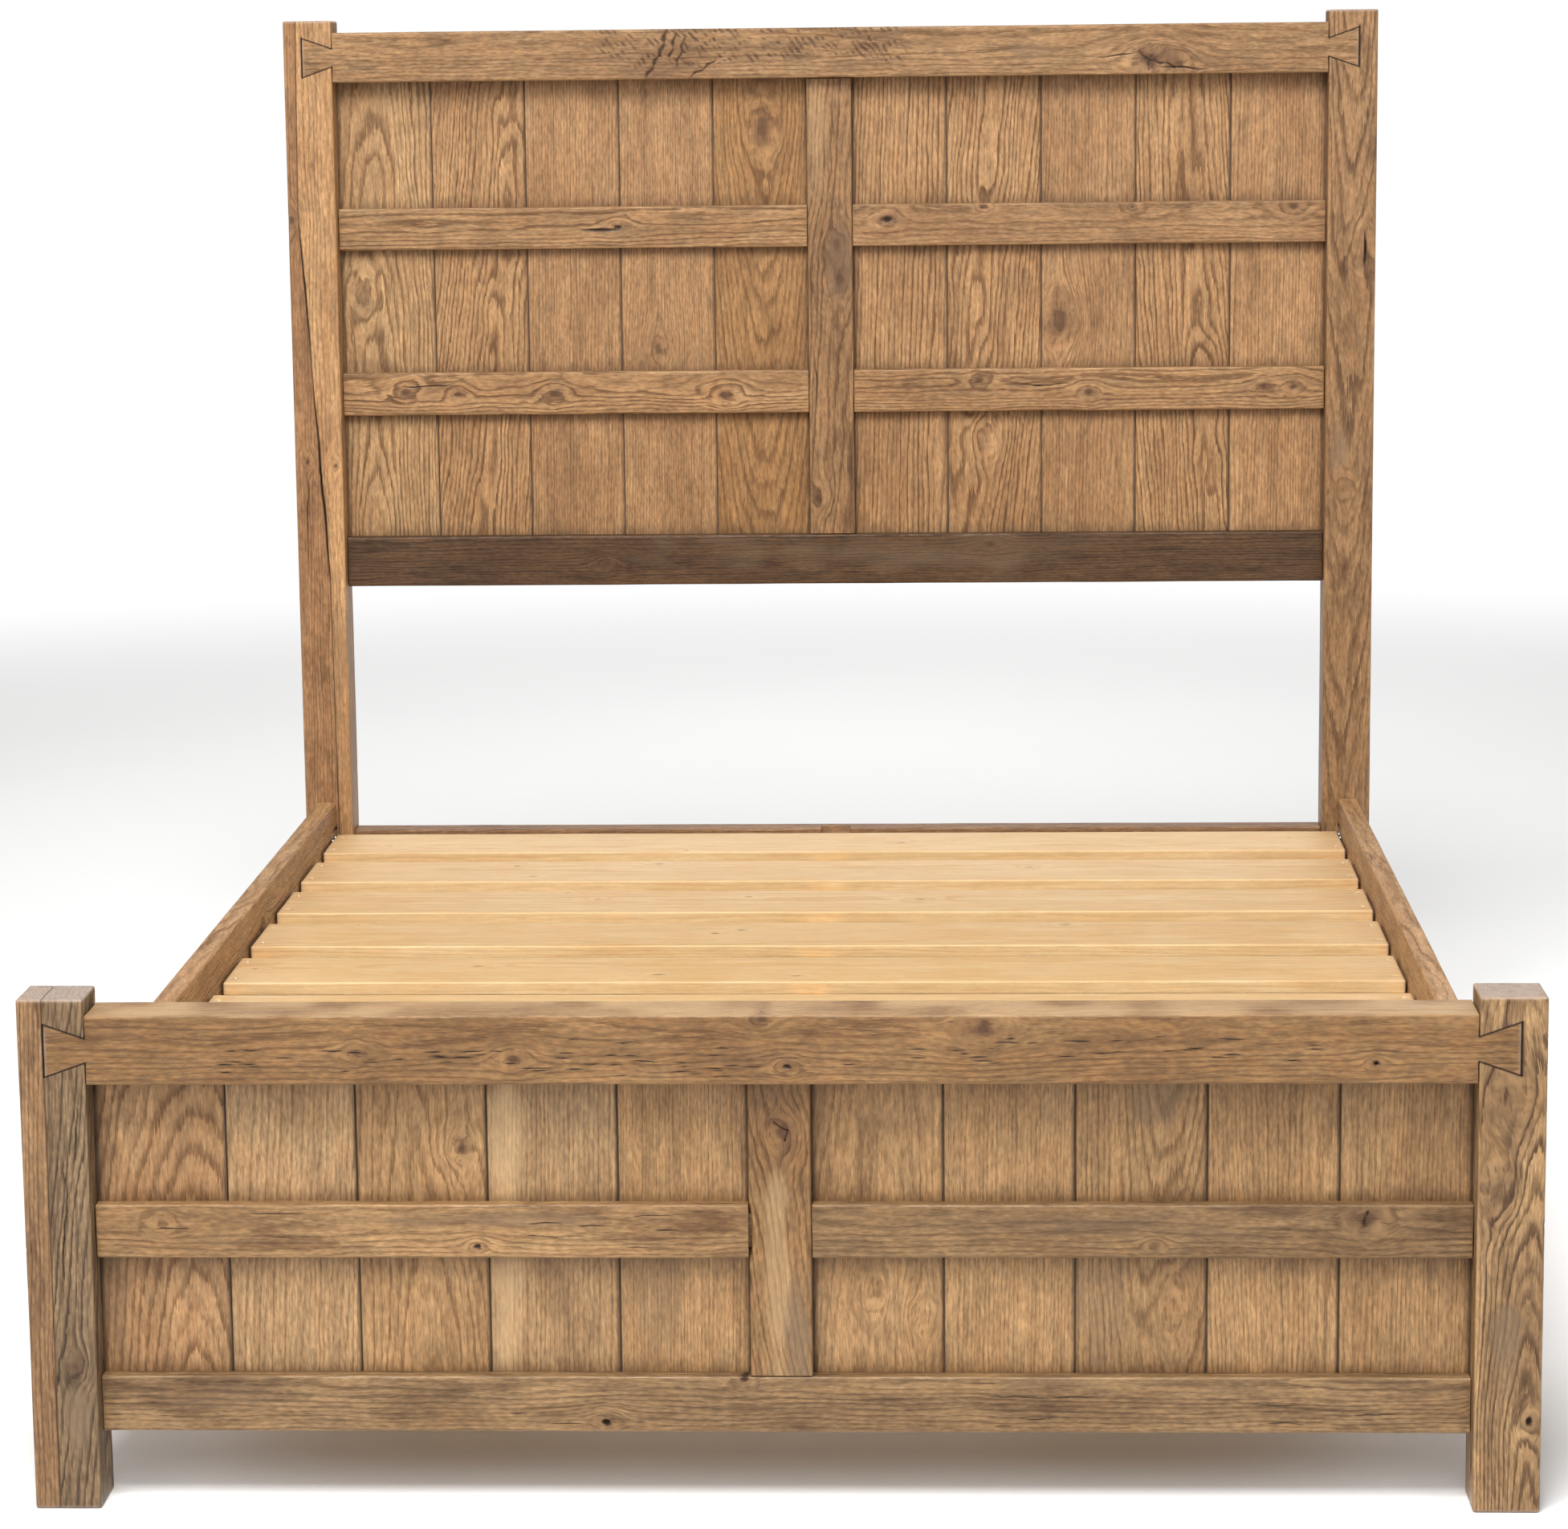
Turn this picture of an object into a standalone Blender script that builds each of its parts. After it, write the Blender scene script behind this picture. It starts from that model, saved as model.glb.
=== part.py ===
"""A queen-size bed frame in reclaimed oak, as the separate timbers and hardware it is made of.

+Z is up, -Y points to the foot of the bed and +X to its right side. The origin is on the floor
under the middle of the bed. Sizes are in metres.

The headboard and the footboard are built alike. In each, a "depth" is measured backwards (+Y) from
the front faces of its two posts, and an empty at those faces is the parent of its pieces.
"""
import math

import bmesh
import bpy

# ---------------------------------------------------------------- driving dimensions
BED_WIDTH = 1.704
BED_LENGTH = 2.225
POST = 0.076                     # section of all four posts
HEAD_POST_HEIGHT = 1.673
FOOT_POST_HEIGHT = 0.594
INNER = BED_WIDTH / 2 - POST     # from the middle to the inner face of a post

FOOT_TOP_RAIL = (0.495, 0.575)   # heights of the undersides and tops
FOOT_BATTEN = (0.288, 0.351)
FOOT_BOTTOM_RAIL = (0.084, 0.150)
HEAD_TOP_RAIL = (1.5765, 1.6545)
HEAD_UPPER_BATTEN = (1.314, 1.380)
HEAD_LOWER_BATTEN = (1.053, 1.121)
HEAD_BOTTOM_RAIL = (0.780, 0.860)
HEAD_STRETCHER = (0.285, 0.385)

FRAME_FRONT = 0.025              # depths of the stile, the battens and the bottom rail
FRAME_BACK = 0.068
PLANK_FRONT = 0.045
PLANK_BACK = 0.063
STILE_WIDTH = 0.071
PLANKS_PER_SIDE = 5
HOUSING = 0.010                  # how far the planks go into the grooves round them
V_WIDTH = 0.0014                 # each plank's share of the V between two planks
V_DEPTH = 0.0022
TONGUE = 0.006                   # length and thickness of a plank's tongue

DOVETAIL_LENGTH = 0.047
DOVETAIL_NECK = 0.028
DOVETAIL_END = 0.061
DOVETAIL_DEPTH = 0.038           # half the post
TENON_LENGTH = 0.035
TENON_INSET = 0.012
STILE_TENON_LENGTH = 0.030
STUB_LENGTH = 0.010              # stub tenons of the battens

SIDE_RAIL_OUTSIDE = 0.832
SIDE_RAIL_THICK = 0.030
SIDE_RAIL = (0.235, 0.435)
SLAT_TOP = 0.385
SLAT_THICK = 0.019
SLAT_WIDTH = 0.160
SLAT_COUNT = 9
SLAT_END_SPACE = 0.015           # from the posts' faces to the first and last slat
SLAT_SIDE_SPACE = 0.0025         # from a slat's end to the side rail
LEDGER_SECTION = 0.028
LEDGER_END_SPACE = 0.004         # from a ledger's end to the hook plate

HOOK_PLATE_LENGTH = 0.060
HOOK_PLATE = (0.275, 0.395)
HOOK_PLATE_THICK = 0.003
HOOK_REACH = 0.018
HOOK_RISE = 0.024                # height of one hook's root
HOOK_DROP = 0.012                # how far its nose hangs below the root
HOOK_NOSE = 0.007
HOOK_ROOT_TOPS = (0.391, 0.327)
HOOK_SLOT_DEEPER = 0.002         # than the hooks reach
HOOK_SLOT_LOWER = 0.004          # than the plate's bottom
PLATE_HOLE = 0.0055
PLATE_HOLE_PLACES = (0.016, 0.045)   # from the rail's end
PLATE_HOLE_INSET = 0.016         # from the plate's top and bottom

BEAM_WIDTH = 0.045
BEAM_HEIGHT = 0.064
BEAM_HOUSING = 0.020
CLEAT_WIDTH = 0.120
CLEAT_DEPTH = 0.040
CLEAT_BELOW_BEAM = 0.036
LEG_SECTION = 0.050
LEG_BOTTOM = 0.024
LEG_PLACES = (-0.40, 0.40)       # along the bed

LEVELLER_FOOT = 0.020            # radius of the foot, then of its rod
LEVELLER_FOOT_HEIGHT = 0.009
LEVELLER_ROD = 0.004
LEVELLER_ROD_TOP = 0.070
LEVELLER_ROUNDING = 0.001        # at the floor and at the rod's top
LEVELLER_SHOULDER = 0.003        # the sloping rim of the foot
LEVELLER_BORE = 0.0046
LEVELLER_BORE_TOP = 0.088        # room for the rod when the foot is wound right in

GAP = 0.0003                     # between touching pieces
OVERLAP = 0.005                  # of shapes that are joined into one piece
EASE = 0.0022                    # softened edges of the oak
SMALL_EASE = 0.0012              # and of the plain timber
HOLE_SIDES = 16
ROUND_SIDES = 32

# ---------------------------------------------------------------- colours (linear) and roughness
HONEY_OAK = (0.42, 0.235, 0.098)
BROWN_OAK = (0.33, 0.18, 0.078)
GREY_OAK = (0.29, 0.175, 0.092)
PALE_OAK = (0.46, 0.27, 0.12)
PINE = (0.55, 0.38, 0.20)
STEEL = (0.35, 0.35, 0.36)
BLACK_PLASTIC = (0.02, 0.02, 0.02)
OAK_ROUGHNESS = 0.5
PINE_ROUGHNESS = 0.65
STEEL_ROUGHNESS = 0.4
PLASTIC_ROUGHNESS = 0.5


def give_finish(obj, colour, roughness, metallic=0.0):
    material = bpy.data.materials.new(obj.name + "_finish")
    material.use_nodes = True
    shader = material.node_tree.nodes["Principled BSDF"]
    shader.inputs["Base Color"].default_value = (*colour, 1.0)
    shader.inputs["Roughness"].default_value = roughness
    shader.inputs["Metallic"].default_value = metallic
    obj.data.materials.append(material)


def empty(name, location):
    obj = bpy.data.objects.new(name, None)
    obj.location = location
    bpy.context.collection.objects.link(obj)
    return obj


def place(name, mesh, parent, location):
    obj = bpy.data.objects.new(name, mesh)
    obj.parent = parent
    obj.location = location
    bpy.context.collection.objects.link(obj)
    return obj


# ---------------------------------------------------------------- shapes
def add_box(bm, low, high):
    size = [b - a for a, b in zip(low, high)]
    middle = [(a + b) / 2 for a, b in zip(low, high)]
    made = bmesh.ops.create_cube(bm, size=1.0)
    bmesh.ops.scale(bm, verts=made["verts"], vec=size)
    bmesh.ops.translate(bm, verts=made["verts"], vec=middle)


def add_prism(bm, outline, across, start, end):
    """An outline in the two axes other than `across`, drawn out from start to end along it."""
    def point(pair, along):
        pair = list(pair)
        pair.insert(across, along)
        return pair

    corners = [bm.verts.new(point(pair, start)) for pair in outline]
    face = bm.faces.new(corners)
    drawn = bmesh.ops.extrude_face_region(bm, geom=[face])
    moved = [v for v in drawn["geom"] if isinstance(v, bmesh.types.BMVert)]
    reach = [0.0, 0.0, 0.0]
    reach[across] = end - start
    bmesh.ops.translate(bm, verts=moved, vec=reach)
    bmesh.ops.recalc_face_normals(bm, faces=bm.faces)


def add_cylinder(bm, x, y, bottom, top, radius, sides):
    ring = [2 * math.pi * i / sides for i in range(sides)]
    outline = [(x + radius * math.cos(a), y + radius * math.sin(a)) for a in ring]
    add_prism(bm, outline, 2, bottom, top)


def finished_mesh(name, bm):
    mesh = bpy.data.meshes.new(name)
    bm.to_mesh(mesh)
    bm.free()
    return mesh


def ease_edges(obj, width):
    bevel = obj.modifiers.new("eased_edges", "BEVEL")
    bevel.width = width
    bevel.segments = 2
    bevel.limit_method = "ANGLE"


def combine(obj, operation, bm):
    """Join the shapes in bm to the piece, or cut them from it."""
    name = f"{obj.name}_{operation.lower()}"
    tool = place(name, finished_mesh(name, bm), obj.parent, (0.0, 0.0, 0.0))
    tool.hide_render = True
    tool.display_type = "WIRE"
    boolean = obj.modifiers.new(operation.lower(), "BOOLEAN")
    boolean.operation = operation
    boolean.solver = "EXACT"
    boolean.use_self = True
    boolean.object = tool


def timber(name, parent, low, high, ease, added=None, cut=None):
    """A straight timber between two corners, with shapes added to it and then cut from it."""
    middle = [(a + b) / 2 for a, b in zip(low, high)]
    half = [(b - a) / 2 for a, b in zip(low, high)]
    bm = bmesh.new()
    add_box(bm, [-h for h in half], half)
    obj = place(name, finished_mesh(name, bm), parent, middle)
    ease_edges(obj, ease)
    if added:
        combine(obj, "UNION", added)
    if cut:
        combine(obj, "DIFFERENCE", cut)
    return obj


# ---------------------------------------------------------------- joints
def add_dovetail(bm, side, height, spare):
    """The half-lap dovetail of a top rail; with spare room, the socket that takes it."""
    root = side * (INNER - OVERLAP)
    shoulder = side * INNER
    end = side * (INNER + DOVETAIL_LENGTH + spare)
    slope = (DOVETAIL_END - DOVETAIL_NECK) / 2 / DOVETAIL_LENGTH
    neck = DOVETAIL_NECK / 2 + spare
    wide = neck + slope * (DOVETAIL_LENGTH + spare)
    outline = [(root, height - neck), (shoulder, height - neck), (end, height - wide),
               (end, height + wide), (shoulder, height + neck), (root, height + neck)]
    front = GAP if spare == 0 else -OVERLAP
    add_prism(bm, outline, 1, front, DOVETAIL_DEPTH + spare)


def add_rail_tenon(bm, side, heights, spare):
    """The tenon of a bottom rail or stretcher; with spare room, the mortise in the post."""
    start, end = sorted((side * (INNER - OVERLAP), side * (INNER + TENON_LENGTH + spare)))
    low = (start, FRAME_FRONT + TENON_INSET - spare, heights[0] + TENON_INSET - spare)
    high = (end, FRAME_BACK - TENON_INSET + spare, heights[1] - TENON_INSET + spare)
    add_box(bm, low, high)


def add_batten_stub(bm, face, direction, heights, spare):
    """The short tenon at one end of a batten, past a face that looks against `direction`."""
    start, end = sorted((face - direction * OVERLAP, face + direction * (STUB_LENGTH + spare)))
    low = (start, FRAME_FRONT + OVERLAP - spare, heights[0] + TENON_INSET - spare)
    high = (end, PLANK_FRONT - OVERLAP + spare, heights[1] - TENON_INSET + spare)
    add_box(bm, low, high)


def add_stile_tenon(bm, edge, direction, spare):
    """The tenon at the top or the foot of a centre stile."""
    half = STILE_WIDTH / 2 - TENON_INSET + spare
    reach = STILE_TENON_LENGTH + spare
    start, end = sorted((edge - direction * OVERLAP, edge + direction * reach))
    low = (-half, FRAME_FRONT + TENON_INSET - spare, start)
    high = (half, FRAME_BACK - TENON_INSET + spare, end)
    add_box(bm, low, high)


def add_plank_groove(bm, low_x, high_x, bottom, top):
    add_box(bm, (low_x, PLANK_FRONT - GAP, bottom), (high_x, PLANK_BACK + GAP, top))


# ---------------------------------------------------------------- headboard and footboard
def make_post(name, parent, side, height, top_rail, rails, battens, groove, hook_side):
    """One post, with a dovetail socket, mortises, the groove for the planks and the hook slot."""
    cut = bmesh.new()
    add_dovetail(cut, side, sum(top_rail) / 2, GAP)
    for heights in rails:
        add_rail_tenon(cut, side, heights, GAP)
    for heights in battens:
        add_batten_stub(cut, side * INNER, side, heights, GAP)
    start, end = sorted((side * (INNER - OVERLAP), side * (INNER + HOUSING)))
    add_plank_groove(cut, start, end, groove[0] - HOUSING, groove[1] + HOUSING)
    slot_x = side * (SIDE_RAIL_OUTSIDE - SIDE_RAIL_THICK + HOOK_PLATE_THICK / 2)
    half = HOOK_PLATE_THICK / 2 + GAP
    face = POST if hook_side > 0 else 0.0
    deep = HOOK_REACH + HOOK_SLOT_DEEPER
    start, end = sorted((face + hook_side * OVERLAP, face - hook_side * deep))
    add_box(cut, (slot_x - half, start, HOOK_PLATE[0] - HOOK_SLOT_LOWER),
            (slot_x + half, end, HOOK_PLATE[1]))
    start, end = sorted((side * INNER, side * (INNER + POST)))
    return timber(name, parent, (start, 0.0, 0.0), (end, POST, height), EASE, cut=cut)


def make_top_rail(name, parent, heights):
    added = bmesh.new()
    for side in (-1, 1):
        add_dovetail(added, side, sum(heights) / 2, 0.0)
    cut = bmesh.new()
    reach = INNER + OVERLAP
    add_plank_groove(cut, -reach, reach, heights[0] - OVERLAP, heights[0] + HOUSING)
    add_stile_tenon(cut, heights[0], 1, GAP)
    low = (-INNER + GAP, 0.0, heights[0])
    high = (INNER - GAP, POST, heights[1])
    return timber(name, parent, low, high, EASE, added, cut)


def make_bottom_rail(name, parent, heights):
    added = bmesh.new()
    for side in (-1, 1):
        add_rail_tenon(added, side, heights, 0.0)
    cut = bmesh.new()
    reach = INNER + OVERLAP
    add_plank_groove(cut, -reach, reach, heights[1] - HOUSING, heights[1] + OVERLAP)
    add_stile_tenon(cut, heights[1], -1, GAP)
    low = (-INNER + GAP, FRAME_FRONT, heights[0])
    high = (INNER - GAP, FRAME_BACK, heights[1])
    return timber(name, parent, low, high, EASE, added, cut)


def make_stile(name, parent, bottom, top, battens):
    added = bmesh.new()
    add_stile_tenon(added, bottom + GAP, -1, -GAP)
    add_stile_tenon(added, top - GAP, 1, -GAP)
    cut = bmesh.new()
    for side in (-1, 1):
        edge = side * STILE_WIDTH / 2
        start, end = sorted((edge + side * OVERLAP, edge - side * HOUSING))
        add_plank_groove(cut, start, end, bottom - OVERLAP, top + OVERLAP)
        for heights in battens:
            add_batten_stub(cut, edge, -side, heights, GAP)
    low = (-STILE_WIDTH / 2, FRAME_FRONT, bottom + GAP)
    high = (STILE_WIDTH / 2, FRAME_BACK, top - GAP)
    return timber(name, parent, low, high, EASE, added, cut)


def make_batten(name, parent, side, heights):
    added = bmesh.new()
    add_batten_stub(added, side * INNER, side, heights, -GAP)
    add_batten_stub(added, side * STILE_WIDTH / 2, -side, heights, -GAP)
    start, end = sorted((side * (STILE_WIDTH / 2 + GAP), side * (INNER - GAP)))
    low = (start, FRAME_FRONT, heights[0])
    high = (end, PLANK_FRONT - GAP, heights[1])
    return timber(name, parent, low, high, EASE, added)


def plank_outline(left, right, left_housed, right_housed):
    """A plank's section: a groove down its left edge, a tongue down its right, Vs at the front."""
    middle = (PLANK_FRONT + PLANK_BACK) / 2
    if left_housed:
        edge = left - HOUSING + GAP
        points = [(edge, PLANK_BACK), (edge, PLANK_FRONT)]
    else:
        edge = left + GAP / 2
        deep = edge + TONGUE + GAP
        half = TONGUE / 2 + GAP
        points = [(edge, PLANK_BACK), (edge, middle + half), (deep, middle + half),
                  (deep, middle - half), (edge, middle - half), (edge, PLANK_FRONT + V_DEPTH),
                  (edge + V_WIDTH, PLANK_FRONT)]
    if right_housed:
        edge = right + HOUSING - GAP
        points += [(edge, PLANK_FRONT), (edge, PLANK_BACK)]
    else:
        edge = right - GAP / 2
        half = TONGUE / 2
        points += [(edge - V_WIDTH, PLANK_FRONT), (edge, PLANK_FRONT + V_DEPTH),
                   (edge, middle - half), (edge + TONGUE, middle - half),
                   (edge + TONGUE, middle + half), (edge, middle + half), (edge, PLANK_BACK)]
    return points


def make_planks(board, parent, bottom, top):
    pitch = (INNER - STILE_WIDTH / 2) / PLANKS_PER_SIDE
    starts = (-INNER, STILE_WIDTH / 2)
    number = 0
    for start in starts:
        for i in range(PLANKS_PER_SIDE):
            number += 1
            name = f"{board}_plank_{number:02d}"
            left = start + i * pitch
            middle = left + pitch / 2
            outline = plank_outline(-pitch / 2, pitch / 2, i == 0, i == PLANKS_PER_SIDE - 1)
            bm = bmesh.new()
            add_prism(bm, outline, 2, 0.0, top - bottom + 2 * (HOUSING - GAP))
            low = bottom - HOUSING + GAP
            obj = place(name, finished_mesh(name, bm), parent, (middle, 0.0, low))
            give_finish(obj, PALE_OAK if number % 2 else HONEY_OAK, OAK_ROUGHNESS)


def make_board(board, parent, height, top_rail, bottom_rail, battens, stretchers, hook_side):
    """A headboard or footboard; battens is a list of (name, heights)."""
    batten_heights = [heights for _, heights in battens]
    panel = (bottom_rail[1], top_rail[0])
    for side, word in ((-1, "left"), (1, "right")):
        post = make_post(f"{board}_post_{word}", parent, side, height, top_rail,
                         [bottom_rail] + stretchers, batten_heights, panel, hook_side)
        give_finish(post, GREY_OAK if side < 0 else HONEY_OAK, OAK_ROUGHNESS)
        for name, heights in battens:
            batten = make_batten(f"{board}_{name}_{word}", parent, side, heights)
            give_finish(batten, HONEY_OAK, OAK_ROUGHNESS)
    give_finish(make_top_rail(f"{board}_top_rail", parent, top_rail), HONEY_OAK, OAK_ROUGHNESS)
    give_finish(make_bottom_rail(f"{board}_bottom_rail", parent, bottom_rail), BROWN_OAK, OAK_ROUGHNESS)
    stile = make_stile(f"{board}_centre_stile", parent, *panel, batten_heights)
    give_finish(stile, HONEY_OAK, OAK_ROUGHNESS)
    make_planks(board, parent, *panel)


def make_head_stretcher(parent):
    """The timber between the head posts that carries the head end of the centre beam."""
    added = bmesh.new()
    for side in (-1, 1):
        add_rail_tenon(added, side, HEAD_STRETCHER, 0.0)
    cut = bmesh.new()
    half = BEAM_WIDTH / 2 + GAP
    bottom = SLAT_TOP - SLAT_THICK - BEAM_HEIGHT - 2 * GAP
    add_box(cut, (-half, FRAME_FRONT - OVERLAP, bottom),
            (half, FRAME_FRONT + BEAM_HOUSING, HEAD_STRETCHER[1] + OVERLAP))
    low = (-INNER + GAP, FRAME_FRONT, HEAD_STRETCHER[0])
    high = (INNER - GAP, FRAME_BACK, HEAD_STRETCHER[1])
    stretcher = timber("head_stretcher", parent, low, high, SMALL_EASE, added, cut)
    give_finish(stretcher, BROWN_OAK, OAK_ROUGHNESS)


def make_foot_cleat(parent):
    """The block behind the foot stile that carries the foot end of the centre beam."""
    beam_bottom = SLAT_TOP - SLAT_THICK - BEAM_HEIGHT - 2 * GAP
    front = FRAME_BACK + GAP
    half = BEAM_WIDTH / 2 + GAP
    cut = bmesh.new()
    add_box(cut, (-half, front + CLEAT_DEPTH - BEAM_HOUSING, beam_bottom),
            (half, front + CLEAT_DEPTH + OVERLAP, SLAT_TOP))
    low = (-CLEAT_WIDTH / 2, front, beam_bottom - CLEAT_BELOW_BEAM)
    high = (CLEAT_WIDTH / 2, front + CLEAT_DEPTH, SLAT_TOP - SLAT_THICK - GAP)
    cleat = timber("foot_beam_cleat", parent, low, high, SMALL_EASE, cut=cut)
    give_finish(cleat, PINE, PINE_ROUGHNESS)


# ---------------------------------------------------------------- sides, slats and centre support
def hook_plate_outline():
    """A hook plate seen from the side: (distance from the rail's end, height), hooks below zero."""
    bottom, top = HOOK_PLATE
    points = [(HOOK_PLATE_LENGTH, bottom), (HOOK_PLATE_LENGTH, top)]
    for root_top in HOOK_ROOT_TOPS:
        root_bottom = root_top - HOOK_RISE
        points += [(0.0, root_top), (-HOOK_REACH, root_top), (-HOOK_REACH, root_bottom - HOOK_DROP),
                   (-HOOK_REACH + HOOK_NOSE, root_bottom - HOOK_DROP),
                   (-HOOK_REACH + HOOK_NOSE, root_bottom), (0.0, root_bottom)]
    points.append((0.0, bottom))
    return points


def make_hook_plate(name, side, end):
    """The steel plate let into a side rail's inner face, with two hooks that enter the post."""
    rail_end = BED_LENGTH / 2 - POST
    inner = side * (SIDE_RAIL_OUTSIDE - SIDE_RAIL_THICK)
    start, stop = sorted((inner, inner + side * HOOK_PLATE_THICK))
    outline = [(end * (rail_end - along), height) for along, height in hook_plate_outline()]
    bm = bmesh.new()
    add_prism(bm, outline, 0, start, stop)
    obj = place(name, finished_mesh(name, bm), None, (0.0, 0.0, 0.0))
    cut = bmesh.new()
    ring = [2 * math.pi * i / HOLE_SIDES for i in range(HOLE_SIDES)]
    for along in PLATE_HOLE_PLACES:
        for height in (HOOK_PLATE[0] + PLATE_HOLE_INSET, HOOK_PLATE[1] - PLATE_HOLE_INSET):
            y = end * (rail_end - along)
            hole = [(y + PLATE_HOLE / 2 * math.cos(a), height + PLATE_HOLE / 2 * math.sin(a))
                    for a in ring]
            add_prism(cut, hole, 0, start - OVERLAP, stop + OVERLAP)
    combine(obj, "DIFFERENCE", cut)
    give_finish(obj, STEEL, STEEL_ROUGHNESS, metallic=1.0)


def make_side(side, word):
    rail_end = BED_LENGTH / 2 - POST - GAP
    inner = SIDE_RAIL_OUTSIDE - SIDE_RAIL_THICK
    cut = bmesh.new()
    for end in (-1, 1):
        recess_x = sorted((side * (inner - OVERLAP), side * (inner + HOOK_PLATE_THICK + GAP)))
        recess_y = sorted((end * (rail_end + OVERLAP), end * (rail_end - HOOK_PLATE_LENGTH - GAP)))
        add_box(cut, (recess_x[0], recess_y[0], HOOK_PLATE[0] - GAP),
                (recess_x[1], recess_y[1], HOOK_PLATE[1] + GAP))
        make_hook_plate(f"hook_plate_{'foot' if end < 0 else 'head'}_{word}", side, end)
    start, stop = sorted((side * inner, side * SIDE_RAIL_OUTSIDE))
    rail = timber(f"side_rail_{word}", None, (start, -rail_end, SIDE_RAIL[0]),
                  (stop, rail_end, SIDE_RAIL[1]), EASE, cut=cut)
    give_finish(rail, HONEY_OAK, OAK_ROUGHNESS)

    top = SLAT_TOP - SLAT_THICK - GAP
    clear_end = rail_end - HOOK_PLATE_LENGTH - LEDGER_END_SPACE
    start, stop = sorted((side * (inner - GAP), side * (inner - GAP - LEDGER_SECTION)))
    ledger = timber(f"slat_ledger_{word}", None, (start, -clear_end, top - LEDGER_SECTION),
                    (stop, clear_end, top), SMALL_EASE)
    give_finish(ledger, PINE, PINE_ROUGHNESS)


def make_slats():
    half_length = SIDE_RAIL_OUTSIDE - SIDE_RAIL_THICK - SLAT_SIDE_SPACE
    first = -BED_LENGTH / 2 + POST + SLAT_END_SPACE + SLAT_WIDTH / 2
    pitch = -2 * first / (SLAT_COUNT - 1)
    for i in range(SLAT_COUNT):
        y = first + i * pitch
        slat = timber(f"slat_{i + 1}", None, (-half_length, y - SLAT_WIDTH / 2, SLAT_TOP - SLAT_THICK),
                      (half_length, y + SLAT_WIDTH / 2, SLAT_TOP), SMALL_EASE)
        give_finish(slat, PINE, PINE_ROUGHNESS)


def make_leveller(name, y):
    """A levelling foot turned about its own axis: a foot with a rounded rim, and a rod."""
    profile = [(LEVELLER_FOOT - LEVELLER_ROUNDING, 0.0),
               (LEVELLER_FOOT, LEVELLER_ROUNDING),
               (LEVELLER_FOOT, LEVELLER_FOOT_HEIGHT - LEVELLER_SHOULDER),
               (LEVELLER_FOOT - LEVELLER_SHOULDER, LEVELLER_FOOT_HEIGHT),
               (LEVELLER_ROD, LEVELLER_FOOT_HEIGHT),
               (LEVELLER_ROD, LEVELLER_ROD_TOP - LEVELLER_ROUNDING),
               (LEVELLER_ROD - LEVELLER_ROUNDING, LEVELLER_ROD_TOP)]
    bm = bmesh.new()
    rings = []
    for radius, height in profile:
        turns = [2 * math.pi * i / ROUND_SIDES for i in range(ROUND_SIDES)]
        rings.append([bm.verts.new((radius * math.cos(a), radius * math.sin(a), height)) for a in turns])
    for lower, upper in zip(rings, rings[1:]):
        for i in range(ROUND_SIDES):
            j = (i + 1) % ROUND_SIDES
            bm.faces.new((lower[i], lower[j], upper[j], upper[i]))
    bm.faces.new(list(reversed(rings[0])))
    bm.faces.new(rings[-1])
    mesh = finished_mesh(name, bm)
    mesh.shade_smooth()
    mesh.set_sharp_from_angle(angle=math.radians(30))
    obj = place(name, mesh, None, (0.0, y, 0.0))
    give_finish(obj, BLACK_PLASTIC, PLASTIC_ROUGHNESS)


def make_centre_support():
    bottom = SLAT_TOP - SLAT_THICK - GAP - BEAM_HEIGHT
    foot_end = -BED_LENGTH / 2 + FRAME_BACK + GAP + CLEAT_DEPTH - BEAM_HOUSING + GAP
    head_end = BED_LENGTH / 2 - POST + FRAME_FRONT + BEAM_HOUSING - GAP
    beam = timber("centre_beam", None, (-BEAM_WIDTH / 2, foot_end, bottom),
                  (BEAM_WIDTH / 2, head_end, bottom + BEAM_HEIGHT), SMALL_EASE)
    give_finish(beam, PINE, PINE_ROUGHNESS)
    half = LEG_SECTION / 2
    for number, y in enumerate(LEG_PLACES, start=1):
        bore = bmesh.new()
        add_cylinder(bore, 0.0, y, LEG_BOTTOM - OVERLAP, LEVELLER_BORE_TOP, LEVELLER_BORE, ROUND_SIDES)
        leg = timber(f"centre_leg_{number}", None, (-half, y - half, LEG_BOTTOM),
                     (half, y + half, bottom - GAP), SMALL_EASE, cut=bore)
        give_finish(leg, PINE, PINE_ROUGHNESS)
        make_leveller(f"leveller_{number}", y)


def main():
    for obj in list(bpy.data.objects):
        bpy.data.objects.remove(obj, do_unlink=True)
    footboard = empty("footboard", (0.0, -BED_LENGTH / 2, 0.0))
    make_board("foot", footboard, FOOT_POST_HEIGHT, FOOT_TOP_RAIL, FOOT_BOTTOM_RAIL,
               [("batten", FOOT_BATTEN)], [], hook_side=1)
    make_foot_cleat(footboard)
    headboard = empty("headboard", (0.0, BED_LENGTH / 2 - POST, 0.0))
    make_board("head", headboard, HEAD_POST_HEIGHT, HEAD_TOP_RAIL, HEAD_BOTTOM_RAIL,
               [("upper_batten", HEAD_UPPER_BATTEN), ("lower_batten", HEAD_LOWER_BATTEN)],
               [HEAD_STRETCHER], hook_side=-1)
    make_head_stretcher(headboard)
    for side, word in ((-1, "left"), (1, "right")):
        make_side(side, word)
    make_slats()
    make_centre_support()


main()
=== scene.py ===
"""The looks of a reclaimed-oak bed frame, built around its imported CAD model.

Every timber is cut again from a finely meshed blank, so that it has worn edges, drying cracks,
knots and chips, and then trimmed to its CAD node, so that its joints stay as they are. Its grain
comes from where the board lay in its tree: the growth rings are cylinders round a leaning heart,
pushed aside by the knots, and the material draws them wherever the board's surfaces meet them.
"""
import itertools
import math
from dataclasses import dataclass

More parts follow.
